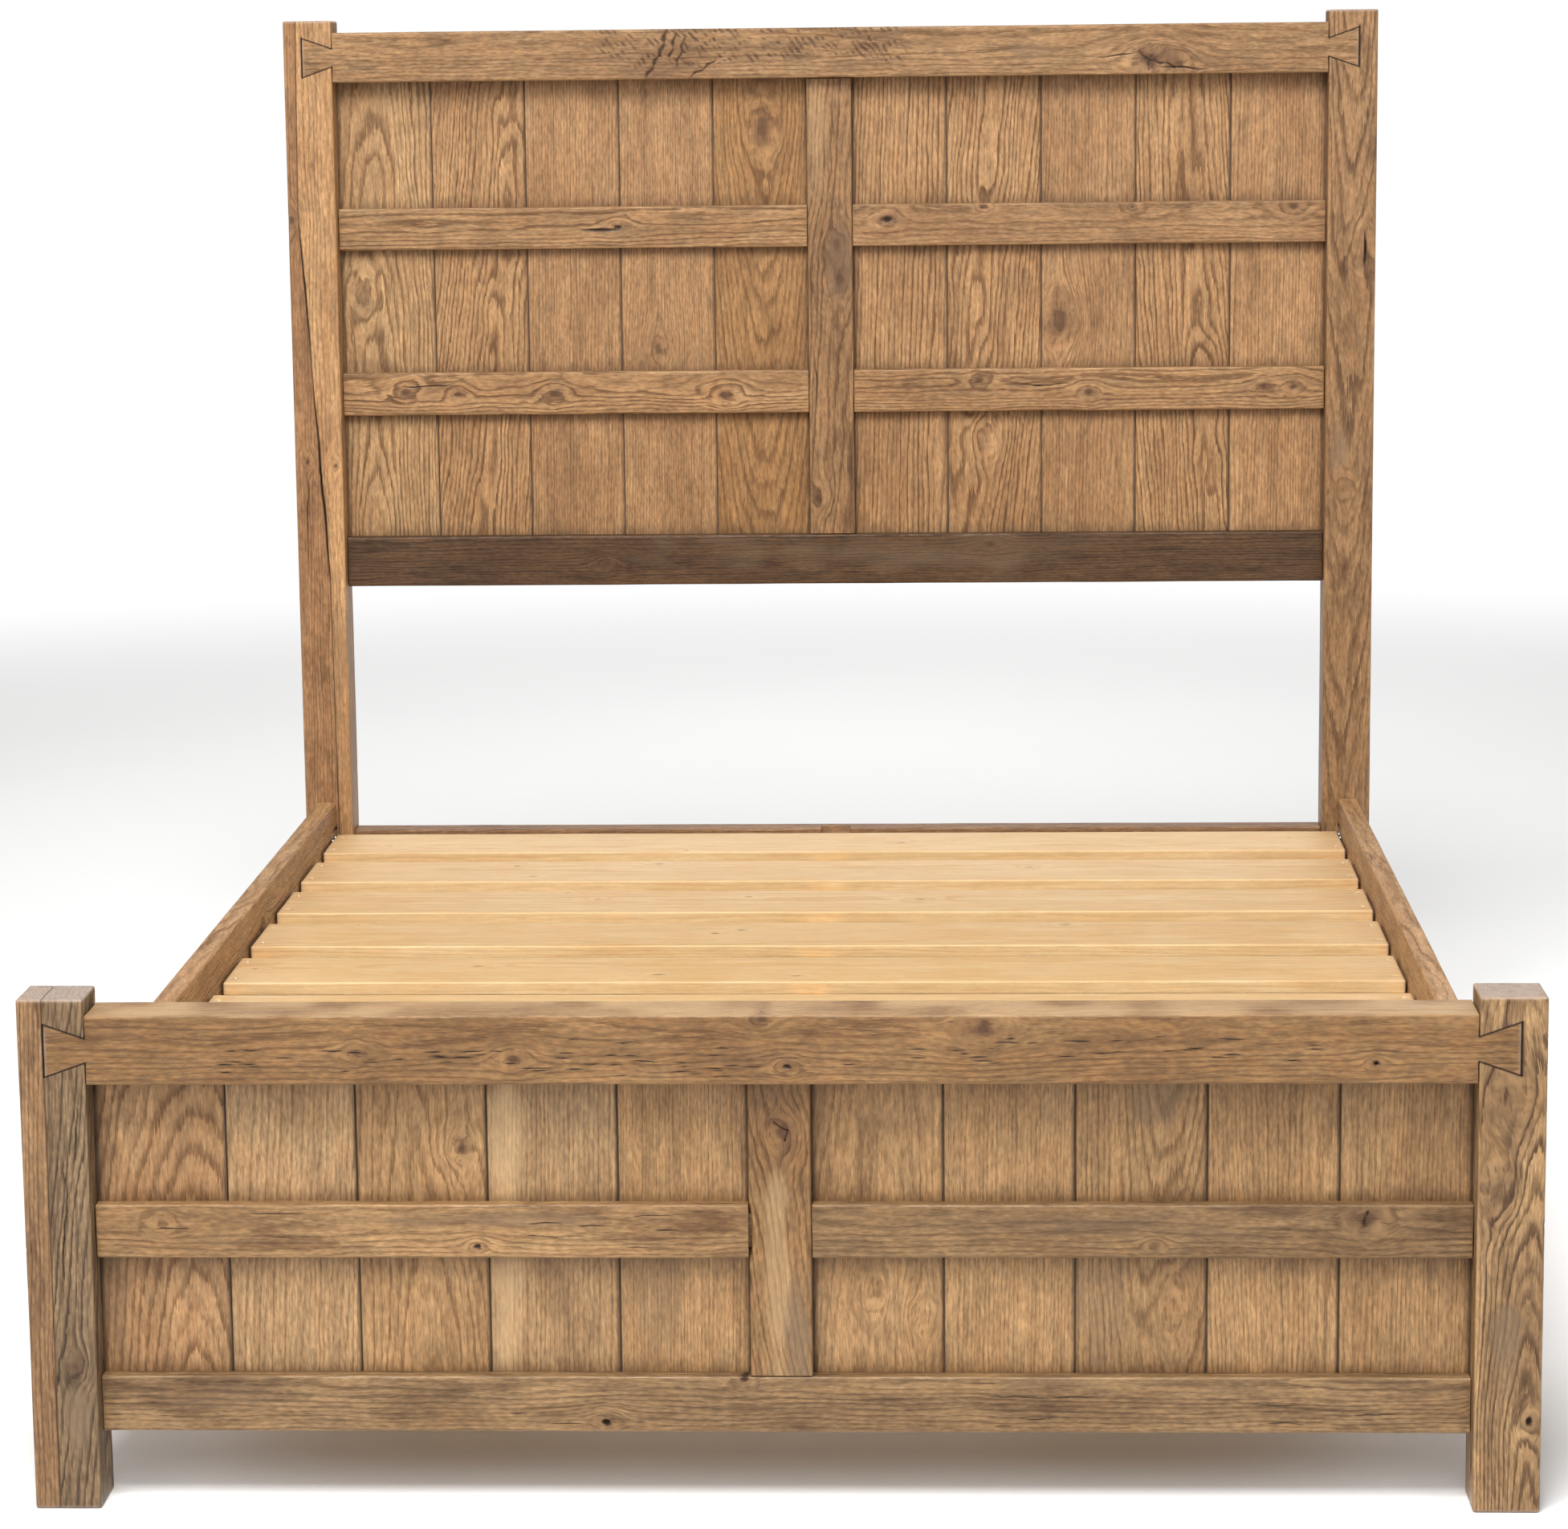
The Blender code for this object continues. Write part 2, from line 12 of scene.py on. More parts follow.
import bmesh
import bpy
import numpy as np
from mathutils import Euler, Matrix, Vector


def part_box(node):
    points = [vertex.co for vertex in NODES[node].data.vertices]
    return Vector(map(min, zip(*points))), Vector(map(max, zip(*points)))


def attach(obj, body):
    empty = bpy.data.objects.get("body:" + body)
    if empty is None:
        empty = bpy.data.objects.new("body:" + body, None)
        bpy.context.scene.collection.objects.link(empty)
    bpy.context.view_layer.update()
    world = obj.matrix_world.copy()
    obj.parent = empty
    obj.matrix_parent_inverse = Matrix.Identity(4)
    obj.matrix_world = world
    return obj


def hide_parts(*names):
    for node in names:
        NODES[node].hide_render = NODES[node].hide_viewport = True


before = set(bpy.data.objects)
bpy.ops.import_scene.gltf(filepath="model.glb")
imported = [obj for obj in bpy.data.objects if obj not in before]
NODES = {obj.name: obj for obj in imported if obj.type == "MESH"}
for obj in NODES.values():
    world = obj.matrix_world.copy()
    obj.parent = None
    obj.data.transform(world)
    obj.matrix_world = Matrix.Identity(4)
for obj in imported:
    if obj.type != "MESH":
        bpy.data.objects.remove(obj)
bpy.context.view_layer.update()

X, Y, Z = 0, 1, 2
INSET = 0.0002                   # the looks stay this far inside the CAD faces
RIM = (0.0, 0.0008, 0.0018, 0.0032, 0.0052)   # mesh lines near an edge, from the edge
CELL = 0.0052        # size of the mesh's squares on flat faces
CLOSEST = 0.0007                 # nearest that two mesh lines come
EASE = 0.0030                    # radius of the oak's worn edges
SHARP = math.radians(34)         # edges that turn more than this stay sharp
VEE_DARKNESS = {"head": 0.62, "foot": 0.82}   # of the dirt in the grooves between planks


# ---------------------------------------------------------------- smooth random values
HASH = np.array((73856093, 19349663, 83492791))


def noise(points, seed):
    """Values from -1 to 1 that change smoothly over about one unit."""
    cell = np.floor(points).astype(np.int64)
    part = (points - cell).T
    part = part * part * (3 - 2 * part)
    shares = (1 - part, part)
    keys = (cell * HASH).T
    total = np.zeros(len(points))
    for i, j, k in itertools.product((0, 1), repeat=3):
        key = keys[0] + keys[1] + keys[2] + (i * HASH[0] + j * HASH[1] + k * HASH[2] + seed * 265443)
        key = ((key ^ (key >> 13)) * 127412617) & 0xFFFFFFFF
        key = (key ^ (key >> 15)) & 0xFFFF
        total += shares[i][0] * shares[j][1] * shares[k][2] * key
    return total / 32767.5 - 1


def wander(along, seed):
    """Values from -1 to 1 that change smoothly over about one unit of one number."""
    knots = np.random.default_rng(seed).uniform(-1, 1, 512)
    cell = np.floor(along).astype(int)
    part = along - cell
    part = part * part * (3 - 2 * part)
    return knots[cell % 512] * (1 - part) + knots[(cell + 1) % 512] * part


def smooth(values, start, end):
    """0 before start, 1 after end, and a smooth step between; start may be the larger."""
    t = np.clip((values - start) / (end - start), 0, 1)
    return t * t * (3 - 2 * t)


# ---------------------------------------------------------------- features of a board
FACE_DEPTH = 0.004               # what lies within this of the front counts as the front face
SWIRL = 1.7                      # how much wider than the knot the grain is bent round it
EYE_RINGS = 1.7                  # how many growth rings close round a knot


def in_front(points, low, depth):
    """Which points lie within a depth of the board's front."""
    return points[:, Y] - low[Y] < depth


@dataclass
class Knot:
    """A branch that passes through the board along one axis, at a point."""
    centre: tuple
    radius: float
    stretch: float = 1.5         # how much longer it is along the grain
    hollow: float = 0.0          # depth of a hole at its middle, in the front face
    strength: float = 1.0        # of its colour
    through: int = Y

    def places(self, points, grain):
        """How far along and across the grain each point is, in the knot's radii."""
        across = 3 - grain - self.through
        along = (points[:, grain] - self.centre[grain]) / self.stretch / self.radius
        aside = (points[:, across] - self.centre[across]) / self.radius
        return across, along, aside

    def bend(self, points, grain):
        """The grain flows round the knot: points beside it read grain from nearer its middle."""
        across, along, aside = self.places(points, grain)
        far = (along ** 2 + aside ** 2) / SWIRL ** 2
        pulled = points.copy()
        pulled[:, across] -= aside * self.radius * np.clip(1.0 / (far + 0.30), 0, 0.80)
        return pulled

    def lift(self, points, grain):
        """The rings rise over the branch, which closes them into eyes round it."""
        _, along, aside = self.places(points, grain)
        far = along ** 2 + aside ** 2
        near = far < 40
        far[near] *= 1 + 0.45 * noise(points[near] * (0.6 / self.radius), 8)
        return EYE_RINGS * np.exp(-far / (2 * SWIRL ** 2))

    def press(self, points, grain, low):
        _, along, aside = self.places(points, grain)
        far = np.hypot(along, aside)
        ring = 0.0002 * smooth(far, 1.3, 0.9)
        return ring + self.hollow * smooth(far, 0.62, 0.3) * in_front(points, low, FACE_DEPTH)

    def marks(self, points, grain, low):
        _, along, aside = self.places(points, grain)
        far = np.hypot(along, aside)
        near = far < 4
        ragged = np.zeros(len(points))
        ragged[near] = 0.30 * noise(points[near] * (1.4 / self.radius), 5)
        ragged[near] += 0.18 * noise(points[near] * (3.4 / self.radius), 6)
        far = far * (1 + ragged)
        core = smooth(far, 0.85, 0.25)
        hole = smooth(far, 0.66, 0.35) if self.hollow else 0.30 * core
        return self.strength * (0.42 * smooth(far, 2.6, 0.6) + 0.58 * core), self.strength * hole

    def lines(self, grain):
        """Where the mesh has to be finer: (axis, middle, half width, spacing)."""
        across = 3 - grain - self.through
        return [(grain, self.centre[grain], 1.5 * self.radius * self.stretch, self.radius / 3),
                (across, self.centre[across], 1.5 * self.radius, self.radius / 3.5)]


@dataclass
class Crack:
    """A drying crack along the grain in the front face, at (x, z) in its middle."""
    x: float
    z: float
    length: float
    width: float
    depth: float = 0.003
    wave: float = 0.0
    slope: float = 0.0
    seed: int = 1

    def distance(self, points, grain):
        middle, across, at = (self.x, Z, self.z) if grain == X else (self.z, X, self.x)
        along = points[:, grain] - middle
        half = self.length / 2
        taper = np.sqrt(np.clip(1 - (along / half) ** 2, 0, 1))
        line = at + self.slope * along + self.wave * wander(along / 0.035, self.seed)
        line += 0.3 * self.wave * wander(along / 0.0095, self.seed + 1)
        far = np.abs(points[:, across] - line) / np.maximum(self.width / 2 * taper, 1e-5)
        return far, taper

    def press(self, points, grain, low):
        far, taper = self.distance(points, grain)
        front = in_front(points, low, FACE_DEPTH)
        return self.depth * taper * np.clip(1.15 - far, 0, 1) * front

    def marks(self, points, grain, low):
        far, taper = self.distance(points, grain)
        front = in_front(points, low, self.depth + FACE_DEPTH)
        return 0.30 * smooth(far, 4.0, 1.0) * taper * front, smooth(far, 1.7, 0.7) * taper * front

    def lines(self, grain):
        across, at = (Z, self.z) if grain == X else (X, self.x)
        half = self.wave * 1.3 + self.width + abs(self.slope) * self.length / 2
        return [(across, at, half, max(self.width * 0.45, 0.0006))]


@dataclass
class Scar:
    """A dark line across the front face from one (x, z) to another."""
    start: tuple
    end: tuple
    width: float
    depth: float = 0.0015
    wave: float = 0.002
    seed: int = 1
    halo: float = 0.0            # of brown round it

    def nearness(self, points):
        a, b = np.array(self.start), np.array(self.end)
        run = b - a
        long = np.linalg.norm(run)
        flat = points[:, (X, Z)] - a
        along = flat @ run / long
        beside = flat @ np.array((-run[1], run[0])) / long + self.wave * wander(along / 0.012, self.seed)
        off_end = np.maximum(np.maximum(-along, along - long), 0)
        width = self.width * (0.65 + 0.5 * wander(along / 0.007, self.seed + 1))
        far = np.hypot(beside, off_end)
        return smooth(far, width * 0.9, width * 0.3), smooth(far, 0.012, 0.0)

    def press(self, points, grain, low):
        return self.depth * self.nearness(points)[0] * in_front(points, low, 0.003)

    def marks(self, points, grain, low):
        near, beside = self.nearness(points)
        front = in_front(points, low, self.depth + 0.003)
        return np.maximum(0.6 * near, self.halo * beside) * front, 0.75 * near * front

    def lines(self, grain):
        middle = [(p + q) / 2 for p, q in zip(self.start, self.end)]
        half = [abs(p - q) / 2 + self.width + self.wave for p, q in zip(self.start, self.end)]
        return [(X, middle[0], half[0], self.width / 2), (Z, middle[1], half[1], self.width / 2)]


@dataclass
class Scoop:
    """A chip or a missing flake: an ellipsoid taken out of the surface."""
    centre: tuple
    size: tuple
    depth: float
    dark: float = 0.0
    ragged: float = 0.25
    axes: tuple = (X, Z)         # along which the mesh has to be finer

    def inside(self, points):
        far = (((points - self.centre) / self.size) ** 2).sum(1)
        near = far < 2
        far[near] *= 1 + self.ragged * noise(points[near] * 240, 9)
        return np.clip(1 - far, 0, 1)

    def press(self, points, grain, low):
        return self.depth * np.sqrt(self.inside(points))

    def marks(self, points, grain, low):
        inside = self.inside(points)
        return self.dark * smooth(inside, 0.0, 0.3), 0.5 * self.dark * smooth(inside, 0.3, 0.9)

    def lines(self, grain):
        return [(axis, self.centre[axis], self.size[axis] * 1.1, self.size[axis] / 5) for axis in self.axes]


SAW_PITCH = 0.0105               # from one saw ripple to the next
SAW_SLANT = 0.75                 # how far a ripple leans, per metre of height


@dataclass
class SawMarks:
    """Slanting rough-sawn ripples left in the front face between two x and above a height."""
    start: float
    end: float
    bottom: float
    depth: float = 0.0007

    def ripple(self, points):
        edge = 0.03
        where = smooth(points[:, X], self.start, self.start + edge)
        where *= smooth(points[:, X], self.end, self.end - edge)
        where *= smooth(points[:, Z] + 0.012 * noise(points * 30, 3), self.bottom, self.bottom + 0.02)
        bent = points[:, X] + SAW_SLANT * points[:, Z] + 0.004 * noise(points * 60, 7)
        wave = 0.5 + 0.5 * np.sin(bent * (2 * math.pi / SAW_PITCH))
        torn = smooth(noise(points * (90, 90, 160), 4), -0.35, 0.5)
        return where * wave ** 1.4 * torn

    def press(self, points, grain, low):
        return self.depth * self.ripple(points) * in_front(points, low, 0.002)

    def marks(self, points, grain, low):
        front = in_front(points, low, FACE_DEPTH)
        ripple = self.ripple(points) * front
        return ripple, 0.48 * ripple

    def lines(self, grain):
        middle = (self.start + self.end) / 2
        return [(X, middle, (self.end - self.start) / 2, 0.0034)]


@dataclass
class Stain:
    """A soft-edged patch of another colour: greyed, dark, or pale sapwood, which also serves as a painted
    highlight.
    """
    x: float
    z: float
    wide: float
    high: float
    grey: float = 0.0
    dark: float = 0.0
    # pale is sapwood, and also a painted highlight where a patch lies on a lit top face
    pale: float = 0.0

    def colour(self, points):
        wander = noise(points * 22, 12) * 0.5
        far = np.hypot((points[:, X] - self.x) / self.wide, (points[:, Z] - self.z) / self.high)
        amount = smooth(far + wander, 1.15, 0.35)
        return amount[:, None] * (self.grey, self.dark, self.pale)


def checks(count, seed, x_range, z_range, length=0.030, width=0.0011):
    """Short drying checks scattered over part of a rail's front face."""
    chance = np.random.default_rng(seed)
    return [Crack(chance.uniform(*x_range), chance.uniform(*z_range), length * chance.uniform(0.4, 1.6),
                  width * chance.uniform(0.7, 1.3), 0.0015, 0.0022, 0.0, seed + i)
            for i in range(count)]


# ---------------------------------------------------------------- how a board was cut from its tree
@dataclass
class Grain:
    """Where the tree's heart runs, and how the board looks."""
    pith: tuple                  # from the board's middle, on the two axes across the grain
    lean: tuple = (0.0, 0.0)     # how it drifts, per metre along the grain
    ring: float = 0.0034         # width of a year's growth
    flame: float = 0.0012        # how much the rings waver
    figure: float = 0.7          # how dark the rings' pores are
    tone: str = "honey"
    seed: int = 1
    shade: float = 1.0           # brightness
    smudge: float = 0.5          # how much brown dirt and old polish it keeps

    def read(self, points, axis, middle, features):
        """The grain coordinate of each point, and how many growth rings out it is."""
        across = [a for a in (X, Y, Z) if a != axis]
        knots = [feature for feature in features if isinstance(feature, Knot)]
        bent = points
        for branch in knots:
            bent = branch.bend(bent, axis)
        local = bent - middle
        scale = np.full(3, 1 / 0.030)
        scale[axis] = 1 / 0.11
        wave = noise(points * scale, self.seed) + 0.45 * noise(points * scale * 2.6, self.seed + 7)
        along = local[:, axis]
        out = [local[:, a] - p - s * along for a, p, s in zip(across, self.pith, self.lean)]
        rings = (np.hypot(*out) + self.flame * wave) / self.ring
        for branch in knots:
            rings += branch.lift(points, axis)
        return np.stack([along, local[:, across[0]], local[:, across[1]]], 1), rings


# ---------------------------------------------------------------- meshes
def grid_lines(low, high, step, focus):
    """Mesh lines from low to high: about `step` apart, closer at both ends and in each focus."""
    rim = [r for r in RIM if 2.2 * r < high - low]
    inner_low, inner_high = low + rim[-1], high - rim[-1]
    lines = [low + r for r in rim] + [high - r for r in rim]
    lines += list(np.linspace(inner_low, inner_high, max(2, round((inner_high - inner_low) / step) + 1)))
    for middle, half, fine in focus:
        lines += [v for v in np.arange(middle - half, middle + half, fine) if inner_low < v < inner_high]
    kept = []
    for line in sorted(lines):
        if not kept or line - kept[-1] > CLOSEST:
            kept.append(line)
    return np.array(kept)


def box_shell(lines):
    """The points and faces of a box whose faces are divided along the given lines."""
    count = [len(v) for v in lines]
    quads = []
    for axis in range(3):
        b, c = (axis + 1) % 3, (axis + 2) % 3
        j, k = (v.ravel() for v in np.meshgrid(range(count[b] - 1), range(count[c] - 1), indexing="ij"))
        for end, turn in ((0, ((0, 0), (0, 1), (1, 1), (1, 0))),
                          (count[axis] - 1, ((0, 0), (1, 0), (1, 1), (0, 1)))):
            corners = []
            for dj, dk in turn:
                place = [None] * 3
                place[axis] = np.full(len(j), end)
                place[b] = j + dj
                place[c] = k + dk
                corners.append((place[0] * count[1] + place[1]) * count[2] + place[2])
            quads.append(np.stack(corners, 1))
    used, faces = np.unique(np.concatenate(quads), return_inverse=True)
    i, rest = np.divmod(used, count[1] * count[2])
    j, k = np.divmod(rest, count[2])
    return np.stack([lines[0][i], lines[1][j], lines[2][k]], 1), faces.reshape(-1, 4)


def show(name, mesh, material, nodes=(), body="bed_frame"):
    """Put a finished piece in the scene, on its body and in place of its CAD nodes."""
    mesh.materials.clear()
    mesh.materials.append(material)
    piece = bpy.data.objects.new(name, mesh)
    bpy.context.collection.objects.link(piece)
    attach(piece, body)
    if nodes:
        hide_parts(*nodes)
    return piece


def trimmed(name, points, faces, node):
    """The mesh of a blank after it is trimmed to a CAD node."""
    mesh = bpy.data.meshes.new(name)
    mesh.from_pydata(points.tolist(), [], faces.tolist())
    blank = bpy.data.objects.new(name + "_blank", mesh)
    bpy.context.collection.objects.link(blank)
    trim = blank.modifiers.new("trim", "BOOLEAN")
    trim.operation = "INTERSECT"
    trim.solver = "EXACT"
    trim.object = NODES[node]
    graph = bpy.context.evaluated_depsgraph_get()
    made = bpy.data.meshes.new_from_object(blank.evaluated_get(graph), depsgraph=graph)
    bpy.data.objects.remove(blank)
    bpy.data.meshes.remove(mesh)
    for layer in list(made.uv_layers):
        made.uv_layers.remove(layer)
    made.shade_smooth()
    made.set_sharp_from_angle(angle=SHARP)
    return made


def set_attribute(mesh, name, kind, values):
    attribute = mesh.attributes.new(name, kind, "POINT")
    field = "value" if kind == "FLOAT" else "vector"
    attribute.data.foreach_set(field, np.ascontiguousarray(values, np.float32).ravel())


def board(node, axis, grain, features=(), stains=(), ease=EASE, wear=1.0, step=CELL,
          seam=None, outer_grain=None, gaps=(), vees=None, painted_shade_corners=(), trim=True):
    """Cut one timber again in detail. `seam` is a list of (z, x) where a post's outer strip starts,
    `gaps` the sides that have a dovetail, `vees` the two edges with a V groove in the front, and
    the argument after `vees` the (axis, place) of the corners beside which the front gets painted shade."""
    low, high = (np.array(corner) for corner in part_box(node))
    middle = (low + high) / 2
    low += INSET
    high -= INSET
    focus = {X: [], Y: [], Z: []}
    for feature in features:
        for along, at, half, fine in feature.lines(axis):
            focus[along].append((at, half, fine))
    if seam is not None:
        seam_heights, seam_places = zip(*seam)
        leftmost, rightmost = min(seam_places), max(seam_places)
        focus[X].append(((leftmost + rightmost) / 2, (rightmost - leftmost) / 2 + 0.002, 0.0010))
    for side in gaps:
        height, inner = dovetail_place(node)
        focus[X].append((side * (inner + DOVETAIL_LENGTH / 2), DOVETAIL_LENGTH / 2 + LINE, LINE))
        focus[Z].append((height, DOVETAIL_END + LINE, LINE))
    points, faces = box_shell([grid_lines(low[a], high[a], step, focus[a]) for a in (X, Y, Z)])

    # worn edges, rounder where hands and knocks have reached them
    slow = np.full(3, 9.0)
    radius = ease * (1 + 0.30 * wear * noise(points * slow, grain.seed + 31))
    radius = np.minimum(radius, (high - low).min() * 0.3)[:, None]
    core = np.clip(points, low + radius, high - radius)
    out = points - core
    out /= np.maximum(np.linalg.norm(out, axis=1, keepdims=True), 1e-9)
    corner = smooth(1 - np.abs(out).max(1), 0.0, 0.25)
    press = 0.00022 * (1 + noise(points * 14, grain.seed + 3))
    knocks = smooth(noise(points * 55, grain.seed + 5), 0.45, 0.95)
    press += wear * corner * (0.0006 * knocks + 0.0002 * (1 + noise(points * 120, grain.seed + 8)))
    for feature in features:
        press += feature.press(points, axis, low)
    if seam is not None:
        from_seam = points[:, X] - np.interp(points[:, Z], seam_heights, seam_places)
        press += 0.0007 * smooth(np.abs(from_seam), 0.0013, 0.0002)
    points = core + out * (radius - press[:, None])

    name = node + "_wood"
    if trim:
        mesh = trimmed(name, points, faces, node)
    else:
        mesh = bpy.data.meshes.new(name)
        mesh.from_pydata(points.tolist(), [], faces.tolist())
        mesh.shade_smooth()
        mesh.set_sharp_from_angle(angle=SHARP)
    at = np.empty(len(mesh.vertices) * 3, np.float32)
    mesh.vertices.foreach_get("co", at)
    at = at.reshape(-1, 3).astype(float)

    coordinate, rings = grain.read(at, axis, middle, features)
    stain_and_painted_light = np.zeros((len(at), 3))
    knot = np.zeros(len(at))
    crack = np.zeros(len(at))
    for feature in features:
        brown, black = feature.marks(at, axis, low)
        knot = np.maximum(knot, brown)
        crack = np.maximum(crack, black)
    for patch in stains:
        stain_and_painted_light = np.maximum(stain_and_painted_light, patch.colour(at))
    if seam is not None:
        from_seam = at[:, X] - np.interp(at[:, Z], seam_heights, seam_places)
        outside = from_seam * np.sign(middle[X]) > 0
        strip, strip_rings = outer_grain.read(at, axis, middle + (0.3, 0.1, 0.7), features)
        coordinate[outside] = strip[outside]
        rings[outside] = strip_rings[outside]
        stain_and_painted_light[outside] *= 0.15
        crack = np.maximum(crack, 0.8 * smooth(np.abs(from_seam), 0.0013, 0.0003))
    for side in gaps:
        crack = np.maximum(crack, joint_line(at, side, dovetail_place(node), low))
    if vees:
        edge = np.minimum(at[:, X] - vees[0], vees[1] - at[:, X])
        dirt = VEE_DARKNESS[node.split("_")[0]] * in_front(at, low, FACE_DEPTH)
        crack = np.maximum(crack, dirt * smooth(edge, 0.0024, 0.0007))
    # painted shade: each plank's front is darkened to brown within about 20 mm of the rails, battens, stile
    # and posts around it
    for (painted_shade_axis, place) in painted_shade_corners:
        shadow = smooth(np.abs(at[:, painted_shade_axis] - place) + 0.008 * noise(at * 30, 21), 0.020, -0.004)
        stain_and_painted_light[:, 1] = np.maximum(stain_and_painted_light[:, 1], 0.40 * shadow * in_front(at, low, FACE_DEPTH))
    ends = smooth(np.minimum(at[:, axis] - low[axis], high[axis] - at[:, axis]), 0.0040, 0.0012)
    room = np.sort(np.minimum(at - low, high - at), axis=1)[:, 1]
    # edges lightened toward the light tone: partly wear, partly a painted highlight along every edge
    worn = smooth(room, 0.0045, 0.0008) * (0.55 + 0.45 * noise(at * 18, grain.seed + 2)) * wear
    if seam is not None:
        set_attribute(mesh, "outer", "FLOAT", outside)
    set_attribute(mesh, "grain", "FLOAT_VECTOR", coordinate)
    set_attribute(mesh, "rings", "FLOAT", rings)
    set_attribute(mesh, "ends", "FLOAT", ends)
    set_attribute(mesh, "marks", "FLOAT_VECTOR", np.stack([knot, crack, np.clip(worn, 0, 1)], 1))
    set_attribute(mesh, "stain_and_painted_light", "FLOAT_VECTOR", np.clip(stain_and_painted_light, 0, 1))
    return show(name, mesh, wood_material(name, grain, outer_grain), [node])


# ---------------------------------------------------------------- the dovetails' dark glue lines
DOVETAIL_LENGTH = 0.047
DOVETAIL_NECK = 0.014            # half heights
DOVETAIL_END = 0.0305
LINE = 0.0011                    # half width of the dark line


def dovetail_place(node):
    """The height of the middle of a board's dovetails, and where its right post starts."""
    board_name = node.split("_")[0]
    rail_low, rail_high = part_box(f"{board_name}_top_rail")
    post_low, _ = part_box(f"{board_name}_post_right")
    return (rail_low.z + rail_high.z) / 2, post_low.x


def joint_line(points, side, place, low):
    """1 on the dovetail's outline in the front face, fading to 0 beside it."""
    height, inner = place
    along = points[:, X] * side - inner
    half = DOVETAIL_NECK + (DOVETAIL_END - DOVETAIL_NECK) * along / DOVETAIL_LENGTH
    beside = np.abs(np.abs(points[:, Z] - height) - half)
    beside = np.where((along > -0.001) & (along < DOVETAIL_LENGTH + 0.001), beside, 1.0)
    inside = np.abs(points[:, Z] - height) < DOVETAIL_END + 0.0005
    end = np.where(inside, np.abs(along - DOVETAIL_LENGTH), 1.0)
    front = in_front(points, low, 0.003)
    return smooth(np.minimum(beside, end), LINE * 1.5, LINE * 0.5) * front


# ---------------------------------------------------------------- materials
TONES = {
    # light wood, darker wood, pores; linear colours
    "honey": ((0.545, 0.332, 0.160), (0.340, 0.184, 0.080), (0.108, 0.043, 0.014)),
    "tan": ((0.505, 0.303, 0.147), (0.312, 0.169, 0.076), (0.102, 0.041, 0.014)),
    "pale": ((0.575, 0.372, 0.186), (0.380, 0.220, 0.100), (0.130, 0.058, 0.021)),
    "warm": ((0.540, 0.310, 0.130), (0.335, 0.171, 0.064), (0.105, 0.038, 0.011)),
    "dun": ((0.505, 0.310, 0.142), (0.310, 0.173, 0.073), (0.102, 0.043, 0.014)),
    "brown": ((0.330, 0.183, 0.086), (0.190, 0.095, 0.042), (0.064, 0.027, 0.011)),
    "grey": ((0.450, 0.305, 0.165), (0.140, 0.084, 0.042), (0.040, 0.022, 0.011)),
    "streaky": ((0.580, 0.365, 0.175), (0.215, 0.120, 0.052), (0.062, 0.027, 0.010)),
    "pine": ((0.700, 0.500, 0.270), (0.600, 0.390, 0.180), (0.420, 0.210, 0.070)),
}
GREYED = (0.270, 0.185, 0.110)
SMUDGED = (0.46, 0.36, 0.29)     # what is left of the light
REDDENED = (0.97, 0.86, 0.76)
END_GRAIN = (0.37, 0.295, 0.25)
SAPWOOD_AND_PAINTED_HIGHLIGHT = (0.620, 0.420, 0.220)
KNOT_AND_PAINTED_SHADE_BROWN = (0.085, 0.036, 0.016)
CRACK_BLACK = (0.016, 0.008, 0.004)


class Nodes:
    """Short ways to build a node tree."""

    def __init__(self, tree):
        self.tree = tree

    def add(self, kind, **inputs):
        node = self.tree.nodes.new(kind)
        for name, value in inputs.items():
            self.set(node.inputs[name.replace("_", " ")], value)
        return node

    def set(self, socket, value):
        if isinstance(value, bpy.types.NodeSocket):
            self.tree.links.new(value, socket)
        else:
            socket.default_value = value

    def math(self, operation, first, second=0.0, third=0.0, clamp=False):
        node = self.tree.nodes.new("ShaderNodeMath")
        node.operation = operation
        node.use_clamp = clamp
        for socket, value in zip(node.inputs, (first, second, third)):
            self.set(socket, value)
        return node.outputs[0]

    def times(self, first, second):
        return self.math("MULTIPLY", first, second)

    def step(self, value, start, end, low=0.0, high=1.0):
        """A smooth step of value from low to high between start and end."""
        node = self.tree.nodes.new("ShaderNodeMapRange")
        node.interpolation_type = "SMOOTHSTEP"
        for socket, setting in zip(node.inputs, (value, start, end, low, high)):
            self.set(socket, setting)
        return node.outputs[0]

    def mix(self, amount, first, second, blend="MIX"):
        node = self.tree.nodes.new("ShaderNodeMix")
        node.data_type = "RGBA"
        node.blend_type = blend
        self.set(node.inputs["Factor"], amount)
        for socket, value in zip((node.inputs[6], node.inputs[7]), (first, second)):
            self.set(socket, (*value, 1.0) if isinstance(value, tuple) and len(value) == 3 else value)
        return node.outputs[2]

    def scaled(self, vector, scale, offset=None):
        node = self.tree.nodes.new("ShaderNodeVectorMath")
        node.operation = "MULTIPLY_ADD"
        self.set(node.inputs[0], vector)
        self.set(node.inputs[1], scale)
        self.set(node.inputs[2], (0.0, 0.0, 0.0) if offset is None else offset)
        return node.outputs[0]

    def noise(self, vector, detail=2.0, roughness=0.5, scale=1.0):
        node = self.add("ShaderNodeTexNoise", Vector=vector, Scale=scale, Detail=detail,
                        Roughness=roughness)
        return node.outputs["Fac"]

    def attribute(self, name, output="Vector"):
        node = self.tree.nodes.new("ShaderNodeAttribute")
        node.attribute_name = name
        return node.outputs[output]

    def parts(self, vector):
        return self.add("ShaderNodeSeparateXYZ", Vector=vector).outputs


